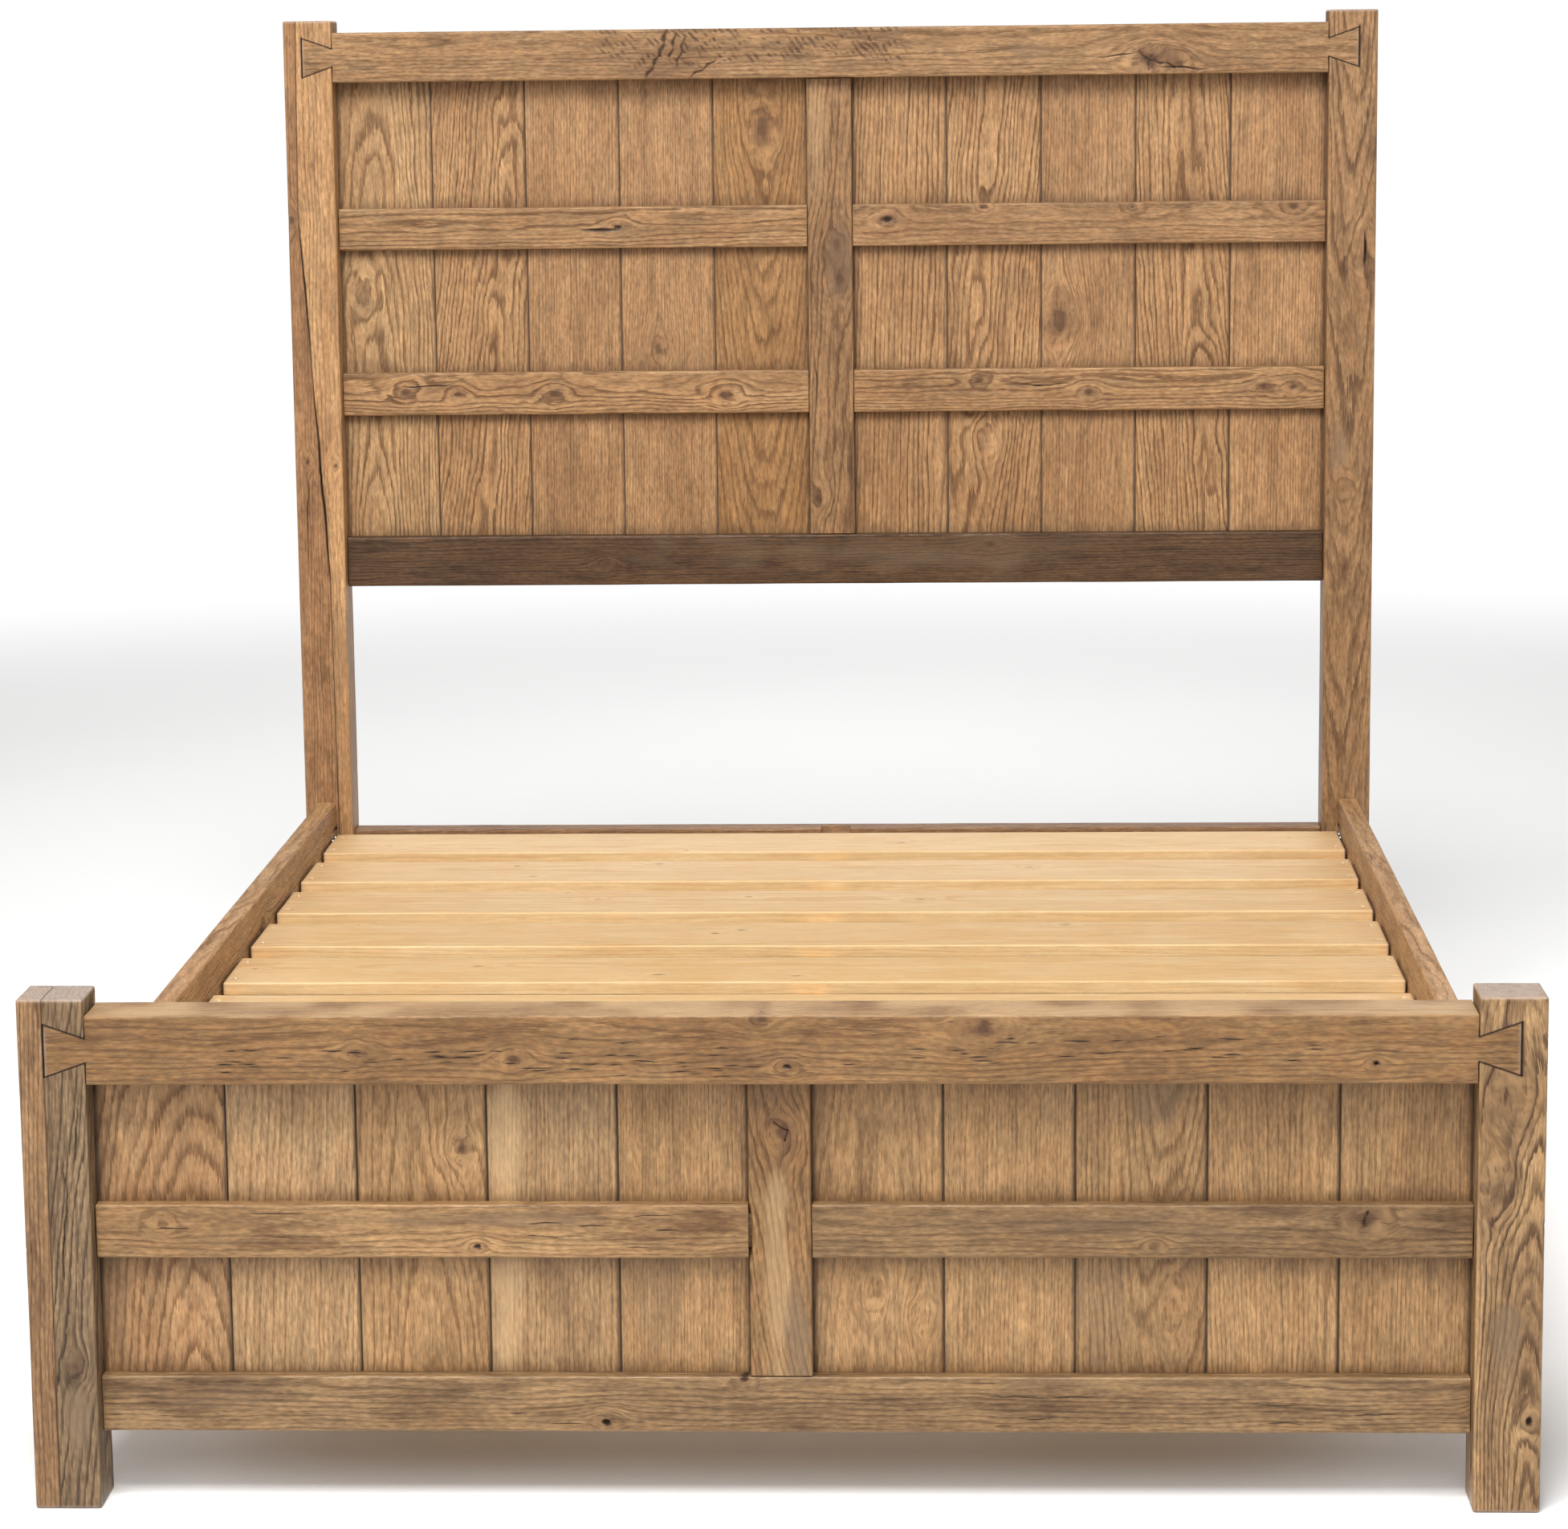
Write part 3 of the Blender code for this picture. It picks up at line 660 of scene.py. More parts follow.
def wood_group():
    """The node group that draws wood from a board's grain, rings, marks and stains."""
    group = bpy.data.node_groups.new("wood", "ShaderNodeTree")
    for name, kind in (("Light", "Color"), ("Mid", "Color"), ("Pore", "Color"), ("Figure", "Float"),
                       ("Pores", "Float"), ("Smudge", "Float"), ("Seed", "Vector")):
        group.interface.new_socket(name, in_out="INPUT", socket_type="NodeSocket" + kind)
    for name, kind in (("Color", "Color"), ("Roughness", "Float"), ("Height", "Float")):
        group.interface.new_socket(name, in_out="OUTPUT", socket_type="NodeSocket" + kind)
    n = Nodes(group)
    given = group.nodes.new("NodeGroupInput").outputs
    grain = n.attribute("grain")
    rings = n.attribute("rings", "Fac")
    marks = n.parts(n.attribute("marks"))
    stain_and_painted_light = n.parts(n.attribute("stain_and_painted_light"))
    seed = given["Seed"]

    # growth rings: a dark porous line where each year starts, wavering as the fibres do
    ragged = n.noise(n.scaled(grain, (28.0, 520.0, 520.0), seed), 2.0, 0.6)
    drift = n.noise(n.scaled(grain, (5.0, 46.0, 46.0), seed), 1.0)
    year = n.math("ADD", rings, n.times(n.math("SUBTRACT", ragged, 0.5), 0.75))
    year = n.math("ADD", year, n.times(n.math("SUBTRACT", drift, 0.5), 1.3))
    part = n.math("FRACT", year)
    after = n.step(part, 0.06, 0.50, 1.0, 0.0)
    before = n.step(part, 0.91, 1.0)
    early = n.math("MAXIMUM", after, before)
    chance = n.tree.nodes.new("ShaderNodeTexWhiteNoise")
    chance.noise_dimensions = "1D"
    n.set(chance.inputs["W"], n.math("FLOOR", n.math("ADD", year, 0.08)))
    early = n.times(early, n.step(chance.outputs["Value"], 0.0, 1.0, 0.45, 1.0))

    # the pores themselves: fine dashes along the grain
    dashes = n.noise(n.scaled(grain, (70.0, 1900.0, 1900.0), seed), 1.0, 0.5)
    crowd = n.step(early, 0.0, 1.0, 0.60, 0.46)
    pores = n.step(dashes, crowd, n.math("ADD", crowd, 0.09))
    pores = n.times(pores, given["Pores"])

    # fibres, broader bands, and slow changes of colour over the board
    fibres = n.noise(n.scaled(grain, (16.0, 330.0, 330.0), seed), 3.0, 0.62)
    bands = n.noise(n.scaled(grain, (4.5, 40.0, 40.0), seed), 2.0, 0.55)
    clouds = n.noise(n.scaled(grain, (6.5, 11.0, 11.0), seed), 2.0, 0.5)
    mottle = n.noise(n.scaled(grain, (30.0, 95.0, 95.0), seed), 3.0, 0.65)
    flecks = n.noise(n.scaled(grain, (95.0, 290.0, 290.0), seed), 1.0, 0.5)
    dirt = n.noise(n.scaled(grain, (9.0, 42.0, 42.0), seed), 4.0, 0.68)
    tan = n.math("ADD", n.times(fibres, 0.55), n.math("ADD", n.times(bands, 0.45), n.times(mottle, 0.30)))
    colour = n.mix(n.step(tan, 0.46, 0.88), given["Light"], given["Mid"])
    colour = n.mix(n.step(clouds, 0.40, 0.70, 0.0, 0.55), colour, given["Mid"])
    colour = n.mix(n.step(dirt, 0.62, 0.36, 0.0, 0.55), colour, n.mix(1.0, colour, REDDENED, "MULTIPLY"))
    mottled = n.mix(1.0, colour, n.step(mottle, 0.30, 0.70, 0.80, 1.18), "MULTIPLY")
    colour = n.mix(n.math("ADD", given["Pores"], 0.2, clamp=True), colour, mottled)
    flecked = n.mix(1.0, colour, n.step(flecks, 0.28, 0.72, 0.84, 1.16), "MULTIPLY")
    colour = n.mix(given["Pores"], colour, flecked)
    depth = n.times(n.times(early, given["Figure"]), n.step(ragged, 0.25, 0.75, 0.62, 1.0))
    colour = n.mix(n.times(depth, 0.95), colour, given["Pore"])
    colour = n.mix(n.times(pores, 0.45), colour, given["Pore"])
    dirt = n.times(n.step(dirt, 0.48, 0.68), given["Smudge"])
    colour = n.mix(n.times(dirt, 0.9), colour, n.mix(1.0, colour, SMUDGED, "MULTIPLY"))

    # stains with painted shade and a painted highlight, then knots, then cracks, then the rubbed edges (wear
    # and painted highlight)
    patch = n.step(n.math("ADD", stain_and_painted_light["X"], n.times(n.math("SUBTRACT", bands, 0.5), 0.8)), 0.1, 0.9)
    patch = n.times(patch, n.step(stain_and_painted_light["X"], 0.0, 0.15))
    colour = n.mix(n.times(patch, 0.75), colour, n.mix(0.55, colour, GREYED, "MULTIPLY"))
    colour = n.mix(n.times(patch, 0.45), colour, GREYED)
    # pale sapwood, and with it the painted highlight on the foot top rail's top face
    colour = n.mix(n.times(stain_and_painted_light["Z"], 0.55), colour, n.mix(0.75, colour, SAPWOOD_AND_PAINTED_HIGHLIGHT))
    # dark stains in brown, and with them the painted shade beside the rails and posts
    colour = n.mix(n.times(stain_and_painted_light["Y"], n.step(fibres, 0.2, 0.7, 0.5, 1.0)), colour, KNOT_AND_PAINTED_SHADE_BROWN)
    knot = n.step(n.math("ADD", marks["X"], n.times(n.math("SUBTRACT", ragged, 0.5), 0.5)), 0.12, 0.95)
    knot = n.times(knot, n.step(marks["X"], 0.0, 0.10))
    turns = n.math("SINE", n.times(marks["X"], 21.0))
    knot = n.times(knot, n.step(turns, -1.0, 1.0, 0.72, 1.0))
    colour = n.mix(n.times(knot, 0.80), colour, KNOT_AND_PAINTED_SHADE_BROWN)
    ends = n.times(n.attribute("ends", "Fac"), n.step(mottle, 0.25, 0.75, 0.55, 1.0))
    colour = n.mix(n.times(ends, 0.85), colour, END_GRAIN)
    colour = n.mix(marks["Y"], colour, CRACK_BLACK)
    # rubbed edges: lighter from wear, and a painted highlight along them
    rub_and_highlight = n.times(marks["Z"], n.step(fibres, 0.3, 0.65, 0.2, 0.6))
    colour = n.mix(rub_and_highlight, colour, given["Light"])

    rough = n.math("ADD", 0.40, n.times(early, 0.14))
    rough = n.math("ADD", rough, n.times(pores, 0.12))
    rough = n.math("ADD", rough, n.times(n.math("SUBTRACT", clouds, 0.5), 0.25))
    rough = n.math("ADD", rough, n.times(marks["Y"], 0.3))
    height = n.times(fibres, 0.45)
    height = n.math("SUBTRACT", height, n.times(early, 0.35))
    height = n.math("SUBTRACT", height, n.times(pores, 0.45))
    height = n.math("SUBTRACT", height, n.times(knot, 0.3))
    out = group.nodes.new("NodeGroupOutput")
    for name, value in (("Color", colour), ("Roughness", rough), ("Height", height)):
        n.set(out.inputs[name], value)
    return group


WOOD = wood_group()
BUMP = 0.0007


def wood_material(name, grain, outer_grain=None):
    """A board's wood; a post with an outer strip of another tree has both their colours."""
    material, n, shader = new_material(name)
    wood = n.tree.nodes.new("ShaderNodeGroup")
    wood.node_tree = WOOD
    for number, socket in enumerate(("Light", "Mid", "Pore")):
        colour = tuple(c * grain.shade for c in TONES[grain.tone][number])
        if outer_grain:
            outer_colour = tuple(c * outer_grain.shade for c in TONES[outer_grain.tone][number])
            n.set(wood.inputs[socket], n.mix(n.attribute("outer", "Fac"), colour, outer_colour))
        else:
            n.set(wood.inputs[socket], (*colour, 1.0))
    pine = grain.tone == "pine"
    chance = np.random.default_rng(grain.seed)
    seed = tuple(float(v) for v in chance.uniform(0, 40, 3))
    for socket, value in (("Figure", grain.figure), ("Pores", 0.15 if pine else 1.0),
                          ("Smudge", 0.0 if pine else grain.smudge), ("Seed", seed)):
        n.set(wood.inputs[socket], value)
    bump = n.add("ShaderNodeBump", Height=wood.outputs["Height"], Strength=0.6, Distance=BUMP)
    n.set(shader.inputs["Base Color"], wood.outputs["Color"])
    n.set(shader.inputs["Roughness"], wood.outputs["Roughness"])
    n.set(shader.inputs["Normal"], bump.outputs["Normal"])
    shader.inputs["Specular IOR Level"].default_value = 0.30
    return material


def new_material(name):
    material = bpy.data.materials.new(name)
    material.use_nodes = True
    return material, Nodes(material.node_tree), material.node_tree.nodes["Principled BSDF"]


def steel_material(name, light, dark, roughness):
    """Bright zinc plate: crystals of slightly different grey, faint scratches and dull spots."""
    material, n, shader = new_material(name)
    place = n.add("ShaderNodeTexCoord").outputs["Object"]
    spangle = n.add("ShaderNodeTexVoronoi", Vector=place, Scale=420.0)
    tone = n.parts(spangle.outputs["Color"])["X"]
    dull = n.noise(place, 4.0, 0.6, 60.0)
    scratch = n.noise(n.scaled(place, (90.0, 90.0, 2600.0)), 1.0)
    colour = n.mix(n.math("ADD", n.times(tone, 0.5), n.times(dull, 0.5)), light, dark)
    rough = n.math("ADD", roughness, n.times(n.math("SUBTRACT", dull, 0.5), 0.35))
    rough = n.math("ADD", rough, n.times(n.math("SUBTRACT", scratch, 0.5), 0.12))
    bump = n.add("ShaderNodeBump", Height=n.math("ADD", scratch, n.times(dull, 0.5)), Strength=0.25,
                 Distance=0.0001)
    n.set(shader.inputs["Base Color"], colour)
    n.set(shader.inputs["Roughness"], rough)
    n.set(shader.inputs["Normal"], bump.outputs["Normal"])
    shader.inputs["Metallic"].default_value = 1.0
    return material


def plastic_material(name):
    """Black moulded plastic with a fine spark-eroded texture and scuffed rims."""
    material, n, shader = new_material(name)
    place = n.add("ShaderNodeTexCoord").outputs["Object"]
    grainy = n.noise(place, 2.0, 0.6, 1500.0)
    scuff = n.noise(place, 4.0, 0.65, 70.0)
    colour = n.mix(n.step(scuff, 0.45, 0.75), (0.018, 0.018, 0.019), (0.060, 0.058, 0.055))
    bump = n.add("ShaderNodeBump", Height=grainy, Strength=0.35, Distance=0.0001)
    n.set(shader.inputs["Base Color"], colour)
    n.set(shader.inputs["Roughness"], n.step(scuff, 0.3, 0.8, 0.42, 0.72))
    n.set(shader.inputs["Normal"], bump.outputs["Normal"])
    return material


# ---------------------------------------------------------------- headboard and footboard
def knot(x, z, radius, **more):
    """A knot in a board that faces the foot of the bed."""
    return Knot((x, 0.0, z), radius, **more)


def posts():
    outer = Grain((0.10, 0.06), (0.02, 0.0), 0.0046, 0.0024, 0.75, "tan", 61, 0.60)
    board("foot_post_left", Z,
          Grain((0.100, 0.016), (0.13, 0.01), 0.0066, 0.0026, 1.00, "grey", 11, 0.68, 0.9),
          [knot(-0.800, 0.170, 0.007, strength=0.4),
           Crack(-0.806, 0.33, 0.20, 0.0014, wave=0.003, slope=0.05),
           Crack(-0.789, 0.44, 0.09, 0.0012, wave=0.002, slope=0.05),
           Scoop((-0.8515, -1.1120, 0.31), (0.003, 0.003, 0.020), 0.0012, 0.2)],
          [Stain(-0.795, 0.30, 0.030, 0.33, grey=0.22), Stain(-0.800, 0.10, 0.020, 0.05, grey=0.8)],
          seam=((0.0, -0.823), (1.0, -0.823)), outer_grain=outer, gaps=(-1,))
    board("foot_post_right", Z,
          Grain((0.018, 0.004), (-0.02, 0.07), 0.0034, 0.0016, 1.00, "streaky", 12, 0.74, 0.8),
          [knot(0.812, 0.478, 0.014, strength=0.30, stretch=1.8), knot(0.838, 0.107, 0.0065, hollow=0.004),
           knot(0.800, 0.376, 0.010, strength=0.20, stretch=2.2),
           Scoop((0.8510, -1.1122, 0.545), (0.006, 0.003, 0.012), 0.0015, 0.8),
           Scoop((0.8515, -1.1122, 0.510), (0.005, 0.003, 0.009), 0.0012, 0.9),
           Scoop((0.8515, -1.1120, 0.330), (0.003, 0.003, 0.016), 0.0010, 0.5)],
          [Stain(0.812, 0.195, 0.022, 0.050, grey=0.8, dark=0.12),
           Stain(0.800, 0.550, 0.030, 0.030, grey=0.3),
           Stain(0.838, 0.300, 0.014, 0.055, dark=0.30)],
          gaps=(1,))
    outer = Grain((0.08, 0.05), (0.01, 0.0), 0.0040, 0.0014, 0.60, "brown", 62, 1.15)
    board("head_post_left", Z, Grain((0.10, 0.05), (-0.03, 0.02), 0.0042, 0.0016, 0.50, "honey", 13, 0.96),
          [Crack(-0.8095, 0.940, 0.34, 0.0032, 0.004, wave=0.001, slope=-0.061, seed=3),
           Crack(-0.8275, 1.250, 0.22, 0.0020, 0.003, wave=0.001, slope=-0.061, seed=6),
           Crack(-0.834, 0.900, 0.18, 0.0011, wave=0.002, slope=0.01, seed=8),
           knot(-0.832, 0.983, 0.0045), knot(-0.787, 0.977, 0.0040), knot(-0.846, 1.365, 0.0070)],
          [Stain(-0.842, 1.350, 0.016, 0.045, dark=0.55), Stain(-0.82, 1.38, 0.03, 0.012, grey=0.6),
           Stain(-0.80, 0.60, 0.05, 0.20, grey=0.4)],
          seam=((0.0, -0.795), (0.80, -0.801), (1.375, -0.836), (1.66, -0.832)),
          outer_grain=outer, gaps=(-1,))
    board("head_post_right", Z,
          Grain((-0.006, 0.040), (0.012, -0.04), 0.0036, 0.0016, 0.80, "tan", 14, 0.70, 0.7),
          [Crack(0.8345, 1.303, 0.062, 0.0032, 0.004, wave=0.001, seed=4),
           knot(0.806, 0.930, 0.007, strength=0.4),
           knot(0.834, 1.300, 0.011, strength=0.3, stretch=2.4)],
          [Stain(0.802, 0.99, 0.026, 0.060, grey=0.9), Stain(0.836, 1.30, 0.012, 0.05, dark=0.25)],
          gaps=(1,))


def rails():
    small = checks(44, 5, (-0.62, 0.02), (0.505, 0.535), 0.020, 0.0011)
    small += checks(24, 65, (0.18, 0.62), (0.520, 0.550), 0.020, 0.0011)
    small += checks(12, 105, (-0.70, 0.70), (0.508, 0.566), 0.018, 0.0009)
    board("foot_top_rail", X,
          Grain((-0.02, 0.020), (0.006, 0.010), 0.0060, 0.0030, 0.38, "warm", 21, 0.52, 0.45),
          [knot(0.229, 0.558, 0.0120, stretch=1.7), knot(0.011, 0.516, 0.0050, hollow=0.002),
           knot(-0.016, 0.570, 0.0065),
           knot(-0.294, 0.525, 0.0075), knot(0.663, 0.519, 0.0036, hollow=0.003),
           knot(-0.470, 0.532, 0.006, strength=0.8)]
          + small,
          [Stain(0.229, 0.556, 0.05, 0.014, dark=0.25), Stain(-0.05, 0.53, 0.14, 0.018, dark=0.18),
           # the last stain is a painted highlight that lightens the rail's top face
           Stain(0.0, 0.578, 3.0, 0.005, pale=1.0)],
          gaps=(-1, 1))
    board("foot_bottom_rail", X,
          Grain((-0.04, 0.03), (0.01, 0.0), 0.0050, 0.0026, 0.46, "streaky", 22, 0.60, 0.7),
          [knot(-0.200, 0.096, 0.0065, hollow=0.003), knot(-0.042, 0.147, 0.0060, hollow=0.002),
           knot(0.790, 0.110, 0.005, strength=0.5)]
          + checks(10, 31, (-0.7, 0.7), (0.092, 0.142), 0.05, 0.0009),
          [Stain(-0.62, 0.12, 0.16, 0.02, grey=0.35), Stain(0.35, 0.14, 0.20, 0.012, grey=0.35)])
    scars = [Scar((-0.250, 1.654), (-0.262, 1.612), 0.0065, halo=0.45),
             Scar((-0.262, 1.615), (-0.284, 1.579), 0.0050, halo=0.45),
             Scar((-0.236, 1.646), (-0.246, 1.612), 0.0040, halo=0.40),
             Scar((-0.222, 1.640), (-0.236, 1.596), 0.0030, halo=0.35),
             Scar((-0.176, 1.604), (-0.215, 1.580), 0.0035, halo=0.35)]
    board("head_top_rail", X,
          Grain((-0.01, 0.016), (0.012, -0.010), 0.0056, 0.0030, 0.36, "honey", 23, 0.66, 0.6),
          [knot(0.500, 1.600, 0.0150, stretch=1.4), knot(0.545, 1.592, 0.009, strength=0.7),
           Scar((0.484, 1.612), (0.502, 1.596), 0.0045, halo=0.3),
           Scar((0.503, 1.606), (0.497, 1.584), 0.0035, halo=0.3),
           Scar((0.504, 1.599), (0.538, 1.589), 0.0035, halo=0.3),
           Crack(0.548, 1.586, 0.080, 0.0020, slope=-0.05, seed=14, wave=0.002),
           Crack(0.45, 1.606, 0.060, 0.0015, slope=0.1, seed=15, wave=0.002),
           SawMarks(-0.375, 0.140, 1.590)] + scars,
          [Stain(0.51, 1.60, 0.06, 0.018, dark=0.50), Stain(-0.28, 1.61, 0.12, 0.030, dark=0.34),
           Stain(0.02, 1.62, 0.40, 0.040, grey=0.22), Stain(0.30, 1.615, 0.07, 0.020, grey=0.5)],
          step=1.25 * CELL, gaps=(-1, 1))
    # painted shade: this rail's brightness of 0.37, far below the other rails, stands for the shadow that
    # lies over it
    board("head_bottom_rail", X,
          Grain((-0.05, 0.05), (0.0, 0.01), 0.0040, 0.0022, 0.80, "brown", 24, 0.37, 0.8),
          [knot(0.25, 0.842, 0.006), knot(-0.36, 0.815, 0.007)],
          [Stain(0.10, 0.83, 0.5, 0.05, grey=0.45)])
    board("head_stretcher", X, Grain((0.03, -0.05), (0.0, 0.01), 0.0036, 0.0018, 0.55, "brown", 25),
          [knot(0.31, 0.345, 0.010), knot(-0.52, 0.320, 0.008)])


def stiles_and_battens():
    board("foot_centre_stile", Z,
          Grain((0.075, 0.022), (-0.16, 0.03), 0.0062, 0.0030, 0.75, "warm", 31, 0.54, 0.6),
          [knot(0.004, 0.434, 0.0110, stretch=1.3),
           Scar((-0.006, 0.446), (0.010, 0.436), 0.0022, 0.002, 0.001),
           Scar((0.010, 0.438), (0.007, 0.424), 0.0018, 0.002, 0.001),
           Scoop((-0.0355, -1.0870, 0.318), (0.0055, 0.010, 0.036), 0.0040, 0.35),
           Scoop((-0.0350, -1.0875, 0.262), (0.0035, 0.006, 0.014), 0.0022, 0.2)],
          [Stain(-0.004, 0.26, 0.014, 0.13, pale=0.7), Stain(0.018, 0.20, 0.022, 0.06, grey=0.9),
           Stain(0.0, 0.47, 0.05, 0.04, grey=0.25)])
    board("head_centre_stile", Z,
          Grain((0.045, 0.035), (0.05, 0.03), 0.0060, 0.0034, 0.85, "tan", 32, 0.68, 0.7),
          [knot(0.014, 1.262, 0.0110, strength=0.8), knot(-0.022, 0.918, 0.0080),
           knot(0.010, 1.318, 0.0090, strength=0.6),
           Crack(-0.024, 1.10, 0.10, 0.0012, wave=0.002, seed=17)],
          [Stain(0.016, 1.285, 0.022, 0.065, grey=0.8, dark=0.50), Stain(-0.02, 1.50, 0.02, 0.10, pale=0.4)])
    board("foot_batten_left", X,
          Grain((-0.03, 0.012), (0.010, 0.004), 0.0052, 0.0030, 0.48, "dun", 33, 0.71, 0.9),
          [knot(-0.342, 0.302, 0.0048, hollow=0.0015), knot(-0.700, 0.330, 0.006, strength=0.3)]
          + checks(9, 210, (-0.7, -0.1), (0.296, 0.344), 0.05, 0.0010),
          [Stain(-0.35, 0.335, 0.22, 0.012, grey=0.45), Stain(-0.60, 0.31, 0.10, 0.012, grey=0.3)])
    board("foot_batten_right", X,
          Grain((-0.04, 0.020), (0.006, 0.0), 0.0048, 0.0026, 0.42, "dun", 34, 0.49, 0.7),
          [knot(0.657, 0.334, 0.0130, stretch=1.2, strength=0.85), knot(0.420, 0.303, 0.004, strength=0.5),
           Scar((0.6585, 0.343), (0.6550, 0.325), 0.0042, 0.0035, 0.0015)],
          [Stain(0.35, 0.325, 0.22, 0.03, grey=0.30)])
    board("head_upper_batten_left", X,
          Grain((0.004, 0.012), (0.004, 0.014), 0.0058, 0.0022, 0.85, "honey", 35, 0.72, 0.3),
          [knot(-0.333, 1.348, 0.0060, hollow=0.0015), Crack(-0.362, 1.3435, 0.070, 0.0042, 0.002, seed=19)],
          [Stain(-0.35, 1.338, 0.07, 0.012, grey=0.3)])
    board("head_upper_batten_right", X,
          Grain((-0.05, 0.022), (-0.004, 0.0), 0.0048, 0.0022, 0.50, "tan", 36, 0.74, 0.6),
          [knot(0.090, 1.356, 0.0095, hollow=0.002, stretch=1.5), knot(0.241, 1.374, 0.0045),
           knot(0.474, 1.372, 0.0040), knot(0.726, 1.370, 0.0080)],
          [Stain(0.09, 1.355, 0.03, 0.010, grey=0.5), Stain(0.35, 1.33, 0.25, 0.02, grey=0.25)])
    board("head_lower_batten_left", X,
          Grain((0.012, 0.016), (-0.008, 0.008), 0.0050, 0.0030, 0.95, "honey", 37, 0.78, 0.5),
          [knot(-0.676, 1.090, 0.0092), knot(-0.593, 1.086, 0.0072, strength=0.9),
           knot(-0.440, 1.087, 0.0095), knot(-0.166, 1.084, 0.0110, strength=0.8),
           Crack(-0.64, 1.099, 0.09, 0.0014, wave=0.003, seed=23)],
          [Stain(-0.63, 1.09, 0.08, 0.018, dark=0.20)])
    board("head_lower_batten_right", X,
          Grain((0.0, 0.014), (0.010, 0.010), 0.0050, 0.0028, 0.75, "honey", 38, 0.76, 0.4),
          [knot(0.234, 1.102, 0.0080), knot(0.405, 1.082, 0.0080),
           knot(0.680, 1.090, 0.0062), knot(0.728, 1.089, 0.0070),
           Crack(0.33, 1.096, 0.10, 0.0013, wave=0.003, seed=29)],
          [Stain(0.41, 1.08, 0.05, 0.014, dark=0.15)])


# Each plank's heart (aside, behind), lean, ring, flame, figure and tone, from left to right.
FOOT_PLANKS = (
    Grain((0.040, 0.048), (0.02, 0.21), 0.0092, 0.0022, 0.75, "honey"),
    Grain((-0.110, 0.045), (0.06, 0.00), 0.0060, 0.0014, 0.40, "pale", shade=0.93),
    Grain((-0.004, 0.060), (-0.05, 0.06), 0.0052, 0.0034, 0.50, "dun", shade=1.08),
    Grain((0.120, 0.050), (0.02, 0.00), 0.0048, 0.0016, 0.45, "pale", shade=0.84),
    Grain((0.140, 0.080), (0.01, 0.00), 0.0034, 0.0010, 0.32, "dun"),
    Grain((-0.010, 0.080), (0.05, 0.04), 0.0042, 0.0026, 0.36, "dun"),
    Grain((-0.120, 0.060), (0.02, 0.00), 0.0038, 0.0010, 0.34, "dun"),
    Grain((0.020, 0.040), (0.04, -0.10), 0.0056, 0.0026, 0.60, "dun", shade=0.90),
    Grain((0.070, 0.040), (-0.05, 0.03), 0.0048, 0.0018, 0.45, "dun", shade=1.03),
    Grain((-0.110, 0.070), (0.02, 0.00), 0.0042, 0.0014, 0.45, "dun", shade=0.97),
)
HEAD_PLANKS = (
    Grain((-0.024, 0.034), (0.01, 0.05), 0.0060, 0.0036, 0.95, "pale"),
    Grain((0.026, 0.030), (0.09, 0.03), 0.0056, 0.0044, 1.00, "honey"),
    Grain((0.130, 0.060), (0.02, 0.00), 0.0042, 0.0012, 0.55, "tan"),
    Grain((-0.150, 0.060), (0.01, 0.00), 0.0036, 0.0010, 0.42, "tan"),
    Grain((0.000, 0.042), (0.00, -0.10), 0.0056, 0.0012, 0.55, "warm", shade=0.84),
    Grain((0.110, 0.050), (0.03, 0.00), 0.0062, 0.0018, 1.00, "honey"),
    Grain((-0.030, 0.032), (0.08, -0.03), 0.0056, 0.0042, 1.00, "honey"),
    Grain((0.090, 0.070), (0.02, 0.00), 0.0042, 0.0012, 0.50, "tan"),
    Grain((0.020, 0.030), (-0.07, 0.04), 0.0058, 0.0044, 1.00, "honey"),
    Grain((-0.120, 0.060), (0.02, 0.00), 0.0044, 0.0014, 0.55, "tan", shade=1.08),
)
PLANK_KNOTS = {
    "foot_plank_03": [knot(-0.360, 0.411, 0.0090, strength=0.95, stretch=1.2)],
    "foot_plank_06": [knot(0.160, 0.214, 0.0090, strength=0.30), knot(0.108, 0.243, 0.0080, strength=0.35)],
    "foot_plank_08": [knot(0.441, 0.230, 0.0080, strength=0.20, stretch=2.4)],
    "head_plank_01": [knot(-0.745, 1.240, 0.0120, strength=0.35, stretch=1.6)],
    "head_plank_02": [knot(-0.650, 1.395, 0.0080, strength=0.45, stretch=1.8)],
    "head_plank_04": [knot(-0.274, 1.154, 0.0090, strength=0.9)],
    "head_plank_05": [knot(-0.105, 1.500, 0.0150, strength=0.85, stretch=1.9)],
    "head_plank_07": [knot(0.246, 1.003, 0.0100, strength=0.30, stretch=1.8)],
    "head_plank_08": [knot(0.361, 1.193, 0.0170, strength=0.85, stretch=1.7)],
}
PLANK_STAINS = {
    "foot_plank_01": [Stain(-0.760, 0.33, 0.03, 0.22, grey=0.30)],
    "foot_plank_04": [Stain(-0.310, 0.33, 0.022, 0.30, pale=0.9)],
    "foot_plank_05": [Stain(-0.150, 0.25, 0.06, 0.10, grey=0.35)],
    "foot_plank_06": [Stain(0.060, 0.22, 0.05, 0.10, grey=0.30)],
    "foot_plank_08": [Stain(0.430, 0.47, 0.04, 0.05, grey=0.55), Stain(0.360, 0.22, 0.04, 0.12, grey=0.45)],
    "foot_plank_10": [Stain(0.760, 0.30, 0.02, 0.30, grey=0.35)],
    "head_plank_01": [Stain(-0.750, 1.24, 0.04, 0.05, grey=0.35)],
    "head_plank_05": [Stain(-0.105, 1.50, 0.022, 0.060, dark=0.45)],
    "head_plank_08": [Stain(0.361, 1.19, 0.03, 0.05, dark=0.20)],
}


PLANKS_PER_SIDE = 5
PLANK_SHADES = {"foot": 0.83, "head": 0.84}     # of every plank, for each board
PLANK_SMUDGE = 0.35


